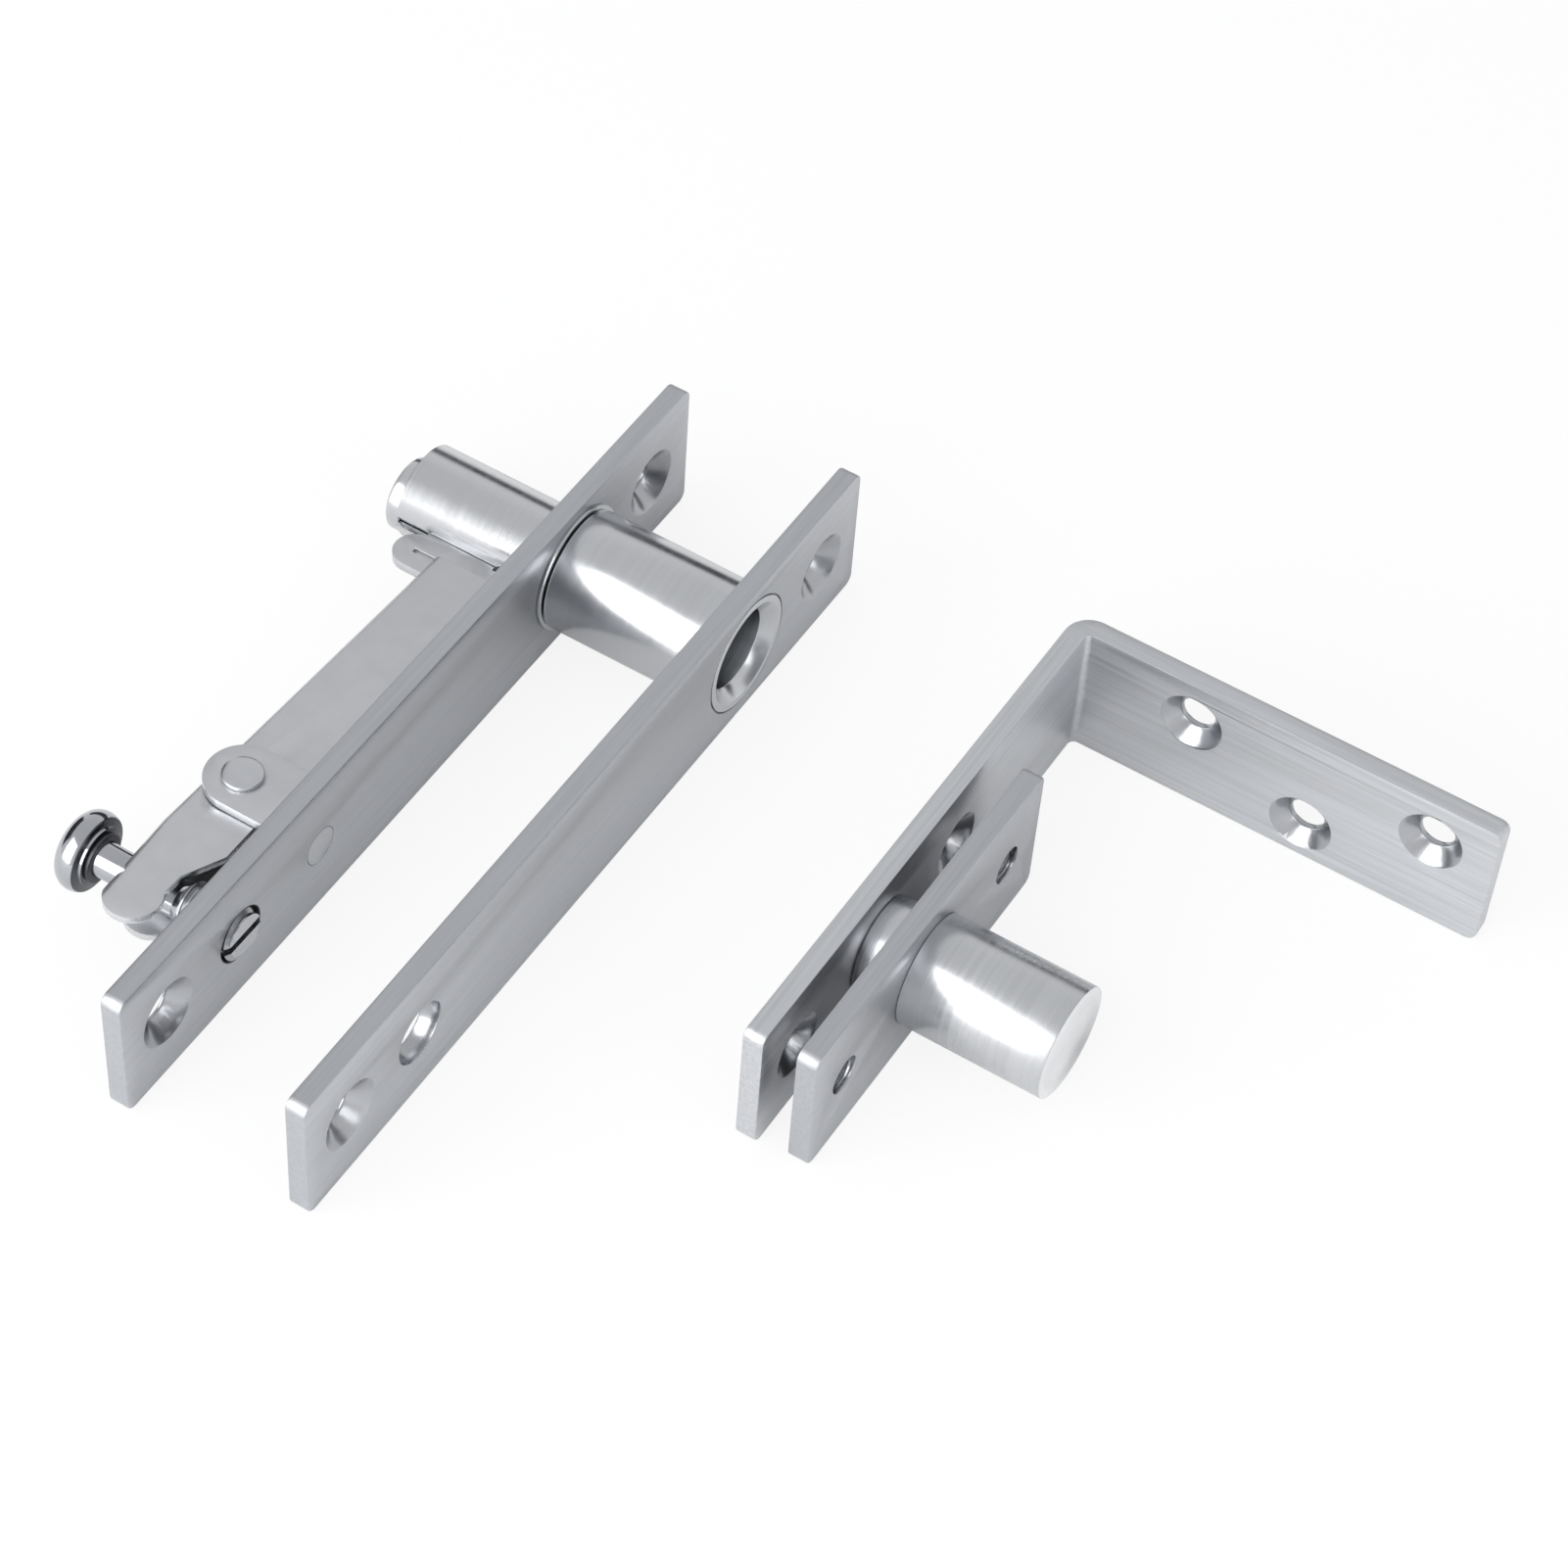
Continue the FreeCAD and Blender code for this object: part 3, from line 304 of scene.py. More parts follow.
# %% [markdown]
# ## Brushed steel
#
# The plates are cut from strip that was brushed along its length. The lines could be drawn along Y
# for all of them, but the bracket is bent, and its lines turn the corner with it: past the bend the
# strip runs along X. So the pattern reads three numbers of its own: the place along the strip,
# across it, and through its thickness.

# %% Coordinates that follow the strip
BEND_Y, BEND_BLUR = 56.5, 1.0


def link_all(tree, *pairs):
    """Links each pair of sockets, from the first to the second."""
    for source, target in pairs:
        tree.links.new(source, target)


def straight_strip(tree, split, along, through):
    """The vector of a straight strip: two axes change places, and Z stays the one across."""
    strip = tree.nodes.new("ShaderNodeCombineXYZ")
    link_all(
        tree,
        (split.outputs[along], strip.inputs["X"]),
        (split.outputs["Z"], strip.inputs["Y"]),
        (split.outputs[through], strip.inputs["Z"]),
    )
    return strip.outputs["Vector"]


def along_strip(tree, bent):
    """A vector socket: place along the strip, across it, and through its thickness."""
    place = tree.nodes.new("ShaderNodeTexCoord")
    split = tree.nodes.new("ShaderNodeSeparateXYZ")
    tree.links.new(place.outputs["Object"], split.inputs["Vector"])
    before_bend = straight_strip(tree, split, along="Y", through="X")
    if not bent:
        return before_bend
    past_bend = straight_strip(tree, split, along="X", through="Y")
    past = add_node(
        tree, "ShaderNodeMapRange", From_Min=(BEND_Y - BEND_BLUR) * MM, From_Max=BEND_Y * MM
    )
    choose = tree.nodes.new("ShaderNodeMix")
    choose.data_type = "VECTOR"  # its vectors are inputs 4 and 5 and output 1
    link_all(
        tree,
        (split.outputs["Y"], past.inputs["Value"]),
        (past.outputs["Result"], choose.inputs["Factor"]),
        (before_bend, choose.inputs[4]),
        (past_bend, choose.inputs[5]),
    )
    return choose.outputs[1]


bracket_low, bracket_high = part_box("floor_bracket")
bracket_size = (bracket_high - bracket_low) / MM
print("the bracket's two arms together:", round(bracket_size.x + bracket_size.y), "mm")

# %% [markdown]
# A brushed face has two scales of line: hair-fine grooves, a tenth of a millimetre wide, and
# longer, wider streaks where the belt bit harder. A picture of brushed steel would need to be
# fitted to every piece. Noise that is stretched along the strip fits them all, and has no seams.
# One helper makes it, and another turns it into a range of numbers.

# %% Noise that is stretched
GROOVE, STREAK = (9.0, 0.11, 0.11), (28.0, 0.55, 0.55)
NOISE_LOW, NOISE_HIGH = 0.3, 0.7


def stretched_noise(tree, vector, cells, detail=2.0):
    """Noise whose cells have these sizes in mm along the three parts of the vector."""
    fit = add_node(tree, "ShaderNodeMapping", Scale=[1 / (size * MM) for size in cells])
    noise = add_node(tree, "ShaderNodeTexNoise", Scale=1.0, Detail=detail, Roughness=0.55)
    link_all(tree, (vector, fit.inputs["Vector"]), (fit.outputs["Vector"], noise.inputs["Vector"]))
    return noise.outputs["Fac"]


def spread(tree, socket, low, high):
    """The middle of a noise, where most of it lies, stretched to run from low to high."""
    fit = add_node(
        tree, "ShaderNodeMapRange",
        From_Min=NOISE_LOW, From_Max=NOISE_HIGH, To_Min=low, To_Max=high,
    )
    tree.links.new(socket, fit.inputs["Value"])
    return fit.outputs["Result"]


plate_low, plate_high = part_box("top_frame_plate")
plate_width = (plate_high - plate_low).z / MM
print("about", round(plate_width / GROOVE[1]), "fine grooves across the width of a plate")

# %% [markdown]
# Every steel in this lesson follows one short recipe. The lines tilt the surface by a few
# thousandths of a millimetre, and the streaks change its roughness and tone. The relief could be
# real geometry, but at this width it would need millions of faces, so it is a bump.
#
# The satin plates are a calm mid grey. The bracket is a little lighter and its streaks show more,
# as the photograph has it.

# %% The satin of the plates and of the bracket
SATIN_COLOUR, BENT_COLOUR = (0.50, 0.512, 0.535), (0.62, 0.632, 0.652)
SATIN_DEPTH = 0.012


def finish_steel(tree, shader, lines, streaks, colour, tone, rough, depth):
    """Sets a steel's colour, roughness and fine relief from its lines and streaks."""
    dark = [part * (1 - tone) for part in colour]
    light = [min(part * (1 + tone), 1.0) for part in colour]
    shade = add_node(tree, "ShaderNodeMix")
    shade.data_type = "RGBA"  # its colours are inputs 6 and 7 and output 2
    shade.inputs[6].default_value = (*dark, 1)
    shade.inputs[7].default_value = (*light, 1)
    relief = add_node(tree, "ShaderNodeBump", Strength=1.0, Distance=depth * MM)
    link_all(
        tree,
        (spread(tree, streaks, 0.0, 1.0), shade.inputs["Factor"]),
        (shade.outputs[2], shader.inputs["Base Color"]),
        (spread(tree, streaks, *rough), shader.inputs["Roughness"]),
        (lines, relief.inputs["Height"]),
        (relief.outputs["Normal"], shader.inputs["Normal"]),
    )
    shader.inputs["Metallic"].default_value = 1.0


def satin_steel(name, colour, tone, rough, bent=False):
    """Strip that is brushed along its length."""
    material, tree, shader, _ = new_material(name)
    strip = along_strip(tree, bent)
    lines = stretched_noise(tree, strip, GROOVE)
    streaks = stretched_noise(tree, strip, STREAK, detail=3.0)
    finish_steel(tree, shader, lines, streaks, colour, tone, rough, SATIN_DEPTH)
    return material


SATIN = satin_steel("satin_plate", SATIN_COLOUR, tone=0.07, rough=(0.30, 0.40))
SATIN_BENT = satin_steel("satin_bracket", BENT_COLOUR, tone=0.10, rough=(0.34, 0.46), bent=True)
print("satin:", SATIN.name, SATIN_BENT.name)

# %% [markdown]
# ## Turned steel
#
# Pins, bush and cup come off a lathe, and the tool leaves rings. Around a cylinder a ring follows
# the place along the axis, and on a face it follows the distance from the axis. A wave texture
# could draw one of the two. Noise that reads both numbers, and nothing else, draws them all.

# %% Coordinates around an axis
PIN_AXIS, SCREW_AXIS, CUP_AXIS = (0, 36.5, 11), (0, -40.6, 11), (0, 4.4, 11)


def seen_from(tree, centre):
    """A vector socket: place on the piece, counted from a centre in mm."""
    place = tree.nodes.new("ShaderNodeTexCoord")
    shift = add_node(tree, "ShaderNodeMapping", Location=[-part * MM for part in centre])
    tree.links.new(place.outputs["Object"], shift.inputs["Vector"])
    return shift.outputs["Vector"]


def around_axis(tree, centre):
    """A vector socket: place along an X axis, distance from it, and zero."""
    from_centre = seen_from(tree, centre)
    split = tree.nodes.new("ShaderNodeSeparateXYZ")
    flat = tree.nodes.new("ShaderNodeVectorMath")
    flat.operation = "MULTIPLY"
    flat.inputs[1].default_value = (0, 1, 1)
    reach = tree.nodes.new("ShaderNodeVectorMath")
    reach.operation = "LENGTH"
    pair = tree.nodes.new("ShaderNodeCombineXYZ")
    link_all(
        tree,
        (from_centre, split.inputs["Vector"]),
        (from_centre, flat.inputs[0]),
        (flat.outputs["Vector"], reach.inputs[0]),
        (split.outputs["X"], pair.inputs["X"]),
        (reach.outputs["Value"], pair.inputs["Y"]),
    )
    return pair.outputs["Vector"]


print("from the pin's axis to the screw's:", round(PIN_AXIS[1] - SCREW_AXIS[1], 1), "mm")

# %% [markdown]
# The pin and its bush are ground smooth, so their rings hardly show and their reflections are
# crisp. The cup is only turned: its rings are wider and its shine is softer. Both are the recipe of
# the satin, with the rings in place of the lines.

# %% The steel of the pin and of the cup
TURNED_COLOUR = (0.60, 0.61, 0.625)
STREAK_RINGS = 6  # a streak is as wide as this many rings


def turned_steel(name, centre, colour, rough, ring=0.12, depth=0.006, tone=0.05):
    """Steel with the rings of a lathe around an X axis. Ring and depth are in mm."""
    material, tree, shader, _ = new_material(name)
    place = around_axis(tree, centre)
    lines = stretched_noise(tree, place, (ring, ring, 1.0))
    streaks = stretched_noise(tree, place, (STREAK_RINGS * ring, STREAK_RINGS * ring, 1.0))
    finish_steel(tree, shader, lines, streaks, colour, tone, rough, depth)
    return material


TURNED_PIN = turned_steel("turned_pin", PIN_AXIS, TURNED_COLOUR, rough=(0.19, 0.23), tone=0.02)
TURNED_CUP = turned_steel(
    "turned_cup", CUP_AXIS, TURNED_COLOUR, rough=(0.24, 0.30), ring=0.16, depth=0.0035,
)
print("turned:", TURNED_PIN.name, TURNED_CUP.name)

# %% [markdown]
# The flat end of the cup shows a fan of light, as the lid of a pan does. Each ring is a groove that
# spreads the light across itself, all around the end. Rings of relief alone would have to be finer
# than a pixel, so the shader spreads the light: it is anisotropic, and its tangent runs along the
# rings.

# %% The fan of light on the cup's end
FAN_STRENGTH = 0.8


def fan_of_light(material, centre):
    """Spreads the highlights of an end face across its rings."""
    tree = material.node_tree
    shader = tree.nodes["Principled BSDF"]
    along_ring = tree.nodes.new("ShaderNodeVectorMath")
    along_ring.operation = "CROSS_PRODUCT"
    along_ring.inputs[0].default_value = (1, 0, 0)
    unit = tree.nodes.new("ShaderNodeVectorMath")
    unit.operation = "NORMALIZE"
    link_all(
        tree,
        (seen_from(tree, centre), along_ring.inputs[1]),
        (along_ring.outputs["Vector"], unit.inputs[0]),
        (unit.outputs["Vector"], shader.inputs["Tangent"]),
    )
    shader.inputs["Anisotropic"].default_value = FAN_STRENGTH


LATHE_FACE = turned_steel(
    "lathe_face", CUP_AXIS, (0.82, 0.83, 0.84), rough=(0.30, 0.36), ring=0.14)
fan_of_light(LATHE_FACE, CUP_AXIS)
print("fan of light on", LATHE_FACE.name)

# %% [markdown]
# The screw has darker faces, and they are painted shade. The front of its knob lies in a hollow and
# wasn't polished, so it is rougher, and its near black colour paints the shade of the hollow. Its
# thread is darker, which paints the shade in its grooves, and the tapped hole and the loose ring on
# its neck are near black too, which paints the shade they lie in. Less light would darken them as
# well, but it would reach their neighbours too, so the shade is painted into the steel.

# %% The darker steel of the screw, painted shade
# Painted shade: near black for the knob's front, the hole and the ring, darker grey for the thread.
KNOB_FRONT_PAINTED_SHADE = turned_steel("knob_front_painted_shade", SCREW_AXIS, (0.09, 0.095, 0.105), (0.18, 0.28), ring=0.3)
THREAD_PAINTED_SHADE = turned_steel("cut_thread_painted_shade", SCREW_AXIS, (0.46, 0.47, 0.49), (0.20, 0.32), ring=0.3)
PAINTED_DEEP_SHADE = turned_steel("painted_deep_shade", SCREW_AXIS, (0.10, 0.10, 0.11), (0.40, 0.50), ring=0.3)
print("darker:", KNOB_FRONT_PAINTED_SHADE.name, THREAD_PAINTED_SHADE.name, PAINTED_DEEP_SHADE.name)

# %% [markdown]
# ## Pressed, sheared and polished steel
#
# The lever and its clevis are pressed from smooth sheet, which is matt with faint clouds. Their
# sheared rims are brighter than their faces, and a filed edge is rougher. The knob is polished, and
# the rivets and the walls of the screw holes are somewhere between. None of them has a direction,
# so the recipe is fed with plain noise, and only its sizes and roughness differ.

# %% Sheet, rims, edges and polish
def plain_steel(name, colour, rough, grain, clouds, depth, tone=0.04):
    """Steel without a direction: grain, clouds and depth are sizes in mm."""
    material, tree, shader, _ = new_material(name)
    place = tree.nodes.new("ShaderNodeTexCoord").outputs["Object"]
    lines = stretched_noise(tree, place, (grain, grain, grain))
    streaks = stretched_noise(tree, place, (clouds, clouds, clouds), detail=4.0)
    finish_steel(tree, shader, lines, streaks, colour, tone, rough, depth)
    return material


SHEET = plain_steel(
    "pressed_sheet", (0.62, 0.628, 0.645), (0.36, 0.46), grain=0.18, clouds=4.0, depth=0.004)
SHEARED = plain_steel(
    "sheared_rim", (0.72, 0.73, 0.74), (0.20, 0.32), grain=0.25, clouds=1.5, depth=0.004)
BROKEN = plain_steel(
    "broken_edge", (0.56, 0.57, 0.59), (0.44, 0.52), grain=0.2, clouds=2.5, depth=0.003)
POLISHED = plain_steel(
    "polished_head", (0.46, 0.47, 0.49), (0.09, 0.15), grain=0.3, clouds=2.0, depth=0.001)
RIVETED = plain_steel(
    "riveted_head", (0.60, 0.61, 0.63), (0.26, 0.34), grain=0.35, clouds=3.0, depth=0.002)
# The walls of the holes are a little darker than the plates: painted shade in the holes.
BORED_PAINTED_SHADE = plain_steel(
    "bored_hole_painted_shade", (0.45, 0.46, 0.48), (0.20, 0.28), grain=0.6, clouds=3.0, depth=0.003)
print("finishes so far:", len(bpy.data.materials))

# %% [markdown]
# ## Pieces with broken edges
#
# A real plate has no razor edge: a pass with a file or a belt breaks it by about a quarter of a
# millimetre, and that narrow face catches the light. The CAD pieces have sharp edges. They could be
# drawn anew, but their outlines and holes are right already. So a copy of each one is merged,
# cleaned of the lines that only divide its flat faces, and bevelled. The copy then stands for the
# CAD piece.

# %% Copy a piece
FLAT_ANGLE = math.radians(0.5)  # faces that meet at less than this are one flat face
MERGE_COPIED = 0.001 * MM  # corners of a copy that are closer than this are one corner


def wears(piece, node, *materials):
    """Makes a finished piece stand for a CAD piece, with its body and its materials."""
    piece.data.materials.clear()
    for material in materials:
        piece.data.materials.append(material)
    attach(piece, BODY_OF[node])
    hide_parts(node)
    return piece


def merged_copy(node):
    """A copy of a CAD piece, merged, with its flat faces made whole."""
    piece = bpy.data.objects.new(node + "_finished", frame["nodes"][node].data.copy())
    bpy.context.collection.objects.link(piece)
    select_only(piece)
    bpy.ops.mesh.customdata_custom_splitnormals_clear()
    bpy.ops.object.mode_set(mode="EDIT")
    bpy.ops.mesh.select_all(action="SELECT")
    bpy.ops.mesh.remove_doubles(threshold=MERGE_COPIED)
    bpy.ops.mesh.dissolve_limited(angle_limit=FLAT_ANGLE)
    bpy.ops.mesh.normals_make_consistent(inside=False)
    bpy.ops.object.mode_set(mode="OBJECT")
    return piece


loose = len(frame["nodes"]["top_frame_plate"].data.polygons)
print("the frame plate comes as", loose, "loose triangles")

# %% [markdown]
# A bevel modifier breaks only the edges that are sharper than an angle, so round pieces stay round.
# A piece then has up to three finishes: its own, that of its broken edges, and that of a detail
# such as the walls of its holes. The bevel gives the second one by itself, and the third is painted
# on by the place and the normal of each face, which is surer than picking faces by number.

# %% Break the edges and paint the details
MAIN, EDGES, DETAIL = 0, 1, 2  # places in a piece's list of materials
SECOND = 1  # the other material of a piece that has only two
SHARP_ANGLE, SMOOTH_ANGLE = math.radians(36), math.radians(30)


def break_edges(piece, width, finish=EDGES, segments=2):
    """Bevels every sharp edge by a width in mm, then smooths the rest."""
    bevel = piece.modifiers.new("broken_edges", "BEVEL")
    bevel.width = width * MM
    bevel.segments = segments
    bevel.limit_method = "ANGLE"
    bevel.angle_limit = SHARP_ANGLE
    bevel.use_clamp_overlap = False
    bevel.material = finish
    select_only(piece)
    bpy.ops.object.modifier_apply(modifier="broken_edges")
    bpy.ops.object.shade_smooth_by_angle(angle=SMOOTH_ANGLE)


def paint(piece, finish, belongs):
    """Gives another finish to the faces for which belongs(centre in mm, normal) holds."""
    count = 0
    for face in piece.data.polygons:
        if belongs(face.center / MM, face.normal):
            face.material_index = finish
            count += 1
    return count


print("edges sharper than", round(math.degrees(SHARP_ANGLE)), "degrees are broken")

# %% [markdown]
# ## The plates and the bracket
#
# The four plates differ only in where their holes are. A face that looks sideways, well inside the
# plate's outline, can only be the wall of a hole, so it gets the drilled steel, which is shinier
# than the plate and a little darker as painted shade in the hole. The rounded corners of the
# straight plates are filed by hand, so they are as matt as the broken edges.

# %% The straight plates
PLATE_EDGE = 0.22
SIDEWAYS = 0.96  # the wall of a hole looks less than this much out of the plate
CLEAR_LOW, CLEAR_HIGH = 2, 20  # heights that are clear of the long edges, in mm
HOLES_ALONG = {
    "top_frame_plate": (-63, 63),
    "top_door_plate": (-63, 63),
    "bottom_door_plate": (-21, 30),
}


def plate(node, material, in_hole):
    """A plate or bracket with broken edges and drilled holes."""
    piece = merged_copy(node)
    break_edges(piece, PLATE_EDGE)
    wears(piece, node, material, BROKEN, BORED_PAINTED_SHADE)
    # The walls of the holes get the drilled steel, darker as painted shade.
    drilled = paint(piece, DETAIL, in_hole)
    print(node, len(piece.data.polygons), "faces,", drilled, "in holes")
    return piece


def straight_plate(node):
    """A plate along Y, with filed corners."""
    near, far = HOLES_ALONG[node]
    piece = plate(node, SATIN, lambda c, n: (
        abs(n.x) < SIDEWAYS and CLEAR_LOW < c.z < CLEAR_HIGH and near < c.y < far
    ))
    paint(piece, EDGES, lambda c, n: (
        abs(n.y) > 0.2 and abs(n.z) > 0.2 and not CLEAR_LOW < c.z < CLEAR_HIGH
    ))
    return piece


straight_plates = {node: straight_plate(node) for node in HOLES_ALONG}
print("straight plates:", len(straight_plates))

# %% [markdown]
# The adjusting screw runs in a tapped hole of the frame plate. Its thread is hidden by the screw's
# own, and what shows is a dark gap around the screw. A wound inner thread would cost faces that no
# one sees, so the wall of the hole is only given a near black steel, which paints the shade in the
# gap.

# %% The tapped hole
TAPPED_REACH = 4.6  # mm from the screw's axis, just past the broken edge of the hole


def in_tapped_hole(c, n):
    """Tells whether a face is the wall of the screw's hole."""
    return abs(n.x) < SIDEWAYS and (c - Vector(SCREW_AXIS)).yz.length < TAPPED_REACH


tapped_plate = straight_plates["top_frame_plate"]
# The wall of the screw's hole gets near black steel, which is painted shade in the gap around the
# screw.
tapped_plate.data.materials.append(PAINTED_DEEP_SHADE)
tapped = paint(tapped_plate, len(tapped_plate.data.materials) - 1, in_tapped_hole)
print("tapped hole:", tapped, "faces")

# %% [markdown]
# The bracket is one strip, bent to a right angle, with countersunk holes in both arms. The holes of
# the long arm go through it along X and those of the short arm along Y, so their walls are told
# apart from the arms' own sides by two rules.

# %% The bracket
def in_bracket_hole(c, n):
    """Tells whether a face is the wall of a hole in one of the bracket's arms."""
    long_arm = abs(n.x) < SIDEWAYS and -22 < c.y < 54
    short_arm = abs(n.y) < SIDEWAYS and c.y > BEND_Y and 74 < c.x < 129
    return CLEAR_LOW < c.z < CLEAR_HIGH and (long_arm or short_arm)


bracket = plate("floor_bracket", SATIN_BENT, in_bracket_hole)
print("bracket:", bracket.name)

# %% [markdown]
# ## The lever and its clevis
#
# The lever is a channel folded from sheet. A pin crosses it at its far end, ground flush with the
# cheeks, so that it doesn't show. The pin and the cheeks could share one face, but faces in the
# same place flicker. So the hole is closed in the cheeks, and the pin is turned a little shorter.
# The wall of the hole is deleted, and the rims that are left are filled.

# %% Close the hole of the cross pin
CROSS_PIN = Vector((-9.5, 21.0, 11.0))
CROSS_REACH = 1.7  # mm from the axis, a little more than the pin's radius


def select_faces(piece, belongs):
    """Selects only the faces for which belongs(centre in mm, normal) holds."""
    select_only(piece)
    bpy.ops.object.mode_set(mode="EDIT")
    bpy.ops.mesh.select_mode(type="FACE")
    bpy.ops.mesh.select_all(action="DESELECT")
    bpy.ops.object.mode_set(mode="OBJECT")
    for face in piece.data.polygons:
        face.select = belongs(face.center / MM, face.normal)


def in_cross_hole(c, n):
    """Tells whether a face is the wall of the cross pin's hole."""
    return (c - CROSS_PIN).to_2d().length < CROSS_REACH and abs(n.z) < 0.5


def close_cross_hole(piece):
    """Removes the wall of the cross pin's hole and fills the rims that are left."""
    select_faces(piece, in_cross_hole)
    bpy.ops.object.mode_set(mode="EDIT")
    bpy.ops.mesh.delete(type="FACE")
    bpy.ops.mesh.select_mode(type="VERT")
    bpy.ops.mesh.select_all(action="SELECT")
    bpy.ops.mesh.fill_holes(sides=0)
    bpy.ops.mesh.select_all(action="SELECT")
    bpy.ops.mesh.normals_make_consistent(inside=False)
    bpy.ops.mesh.dissolve_limited(angle_limit=FLAT_ANGLE)
    bpy.ops.object.mode_set(mode="OBJECT")


lever = merged_copy("lever")
close_cross_hole(lever)
print("lever without its cross hole:", len(lever.data.polygons), "faces")

# %% [markdown]
# The sheet is thin, so its edges are broken by only half as much as a plate's. The rims, where it
# was sheared, are brighter. They could be picked by hand, but a rule still holds when the frame is
# packed again: a rim faces sideways and lies within the sheet of an upper or lower cheek, at least
# three millimetres from the middle, which tells it from the web between the cheeks.

# %% The lever
SHEET_EDGE = 0.12
MIDDLE_Z = 11
LEVER_WEB, CLEVIS_WEB = 3.0, 4.4  # mm from the middle, within which only the web lies


def paint_rims(piece, web):
    """Gives the sheared rims of the two cheeks their brighter steel."""
    return paint(piece, DETAIL, lambda c, n: abs(n.z) < 0.2 and abs(c.z - MIDDLE_Z) > web)


break_edges(lever, SHEET_EDGE)
wears(lever, "lever", SHEET, BROKEN, SHEARED)
rims = paint_rims(lever, LEVER_WEB)
print("lever:", len(lever.data.polygons), "faces,", rims, "on sheared rims")

# %% [markdown]
# The clevis is the fork that holds the lever to the frame plate. It is folded from the same sheet,
# around the outside of the lever, so it is finished in the same way, and only its web is higher.

# %% The clevis
clevis = merged_copy("lever_bracket")
break_edges(clevis, SHEET_EDGE)
wears(clevis, "lever_bracket", SHEET, BROKEN, SHEARED)
rims = paint_rims(clevis, CLEVIS_WEB)
print("clevis:", len(clevis.data.polygons), "faces,", rims, "on sheared rims")

# %% [markdown]
# ## The lathe
#
# The round pieces could be stacked up from cylinders, but a turned piece is one profile, and so is
# its mesh here. A plane is collapsed to a single vertex, the vertex is extruded along the profile,
# and the profile is spun once around the axis. Spinning can turn a shape inside out, so its doubles
# are merged and its normals are then set to face outwards.

# %% Spin a profile
TURNS = 96
MERGE_TURNED = 0.002 * MM


def draw_profile(name, points):
    """A new piece whose mesh is one line through these points."""
    select_only()
    bpy.ops.mesh.primitive_plane_add(size=MM, location=(0, 0, 0))
    piece = bpy.context.active_object
    piece.name = name
    piece.data.name = name
    bpy.ops.object.mode_set(mode="EDIT")
    bpy.ops.mesh.select_mode(type="VERT")
    bpy.ops.mesh.merge(type="CENTER")
    bpy.ops.transform.translate(value=points[0])
    for start, end in zip(points, points[1:]):
        bpy.ops.mesh.extrude_region_move(TRANSFORM_OT_translate={"value": end - start})
    bpy.ops.object.mode_set(mode="OBJECT")
    return piece


def lathe(name, profile, axis, centre):
    """A round piece. The profile lists (place along the axis, radius) in mm."""
    centre = Vector(centre) * MM
    along = Vector((1, 0, 0)) if axis == "X" else Vector((0, 0, 1))
    outward = Vector((0, 0, 1)) if axis == "X" else Vector((1, 0, 0))
    foot = centre - along * centre.dot(along)
    piece = draw_profile(name, [
        foot + along * (place * MM) + outward * (radius * MM) for place, radius in profile
    ])
    bpy.ops.object.mode_set(mode="EDIT")
    bpy.ops.mesh.select_all(action="SELECT")
    bpy.ops.mesh.spin(steps=TURNS, angle=2 * math.pi, center=centre, axis=along)
    bpy.ops.mesh.select_all(action="SELECT")
    bpy.ops.mesh.remove_doubles(threshold=MERGE_TURNED)
    bpy.ops.mesh.normals_make_consistent(inside=False)
    bpy.ops.object.mode_set(mode="OBJECT")
    return piece


print("a turned piece has", TURNS, "steps around its axis")

# %% [markdown]
# The bush is the tube in the door plate that the pin slides into. Its mouth widens to a bright
# cone, and a fine groove marks where it was pressed in. Cylinders and booleans would make it too,
# one for each radius. One profile does it at once: it goes around the wall and ends where it began,
# because a piece with a hole through it has no end on its axis.

# %% The bush in the top door plate
def closed(profile):
    """A profile that ends where it starts, for a piece with a hole through it."""
    return [*profile, profile[0]]


bush = lathe("bush", closed([
    (29.4, 7.8), (29.4, 8.8), (28.9, 8.8), (28.9, 9.0),  # face and groove
    (2.3, 9.0), (2.3, 6.05), (27.65, 6.05),  # outside, back and bore, up to the cone
]), "X", PIN_AXIS)
break_edges(bush, 0.09, MAIN)
wears(bush, "top_bush", TURNED_PIN)
print("bush:", len(bush.data.polygons), "faces")

# %% [markdown]
# The cup is the largest round piece: a plug on the short door plate, with a blind bore for the
# fixed pin. It narrows where it is pressed into the plate. A boolean could bore it, but the profile
# can just as well turn back inside. It starts and ends on the axis, first on the closed end and
# then on the floor of the bore. Only the end gets the fan of light.

# %% The cup of the bottom door plate
cup = lathe("cup", [
    (98.2, 0), (98.2, 8.0), (77.1, 8.0), (77.1, 7.0), (74.1, 7.0),  # end, outside and spigot
    (74.1, 5.05), (95.2, 5.05), (95.2, 0),  # bore
], "X", CUP_AXIS)
break_edges(cup, 0.15, MAIN)
wears(cup, "bottom_cup", TURNED_CUP, LATHE_FACE)
lit = paint(cup, SECOND, lambda c, n: n.x > 0.9 and c.x > 98)
print("cup:", len(cup.data.polygons), "faces,", lit, "on its end")

# %% [markdown]
# Two rings keep pieces apart. The spacer stands between the bracket and the short door plate, and
# its rounded rim shows in the gap. The loose ring runs on the neck of the screw and presses on the
# lever; it is dull, and its near black colour is painted shade. A torus would be round all over,
# and a real ring is cut from tube. So each is a rectangle, spun around its axis, and only its edges
# are rounded.

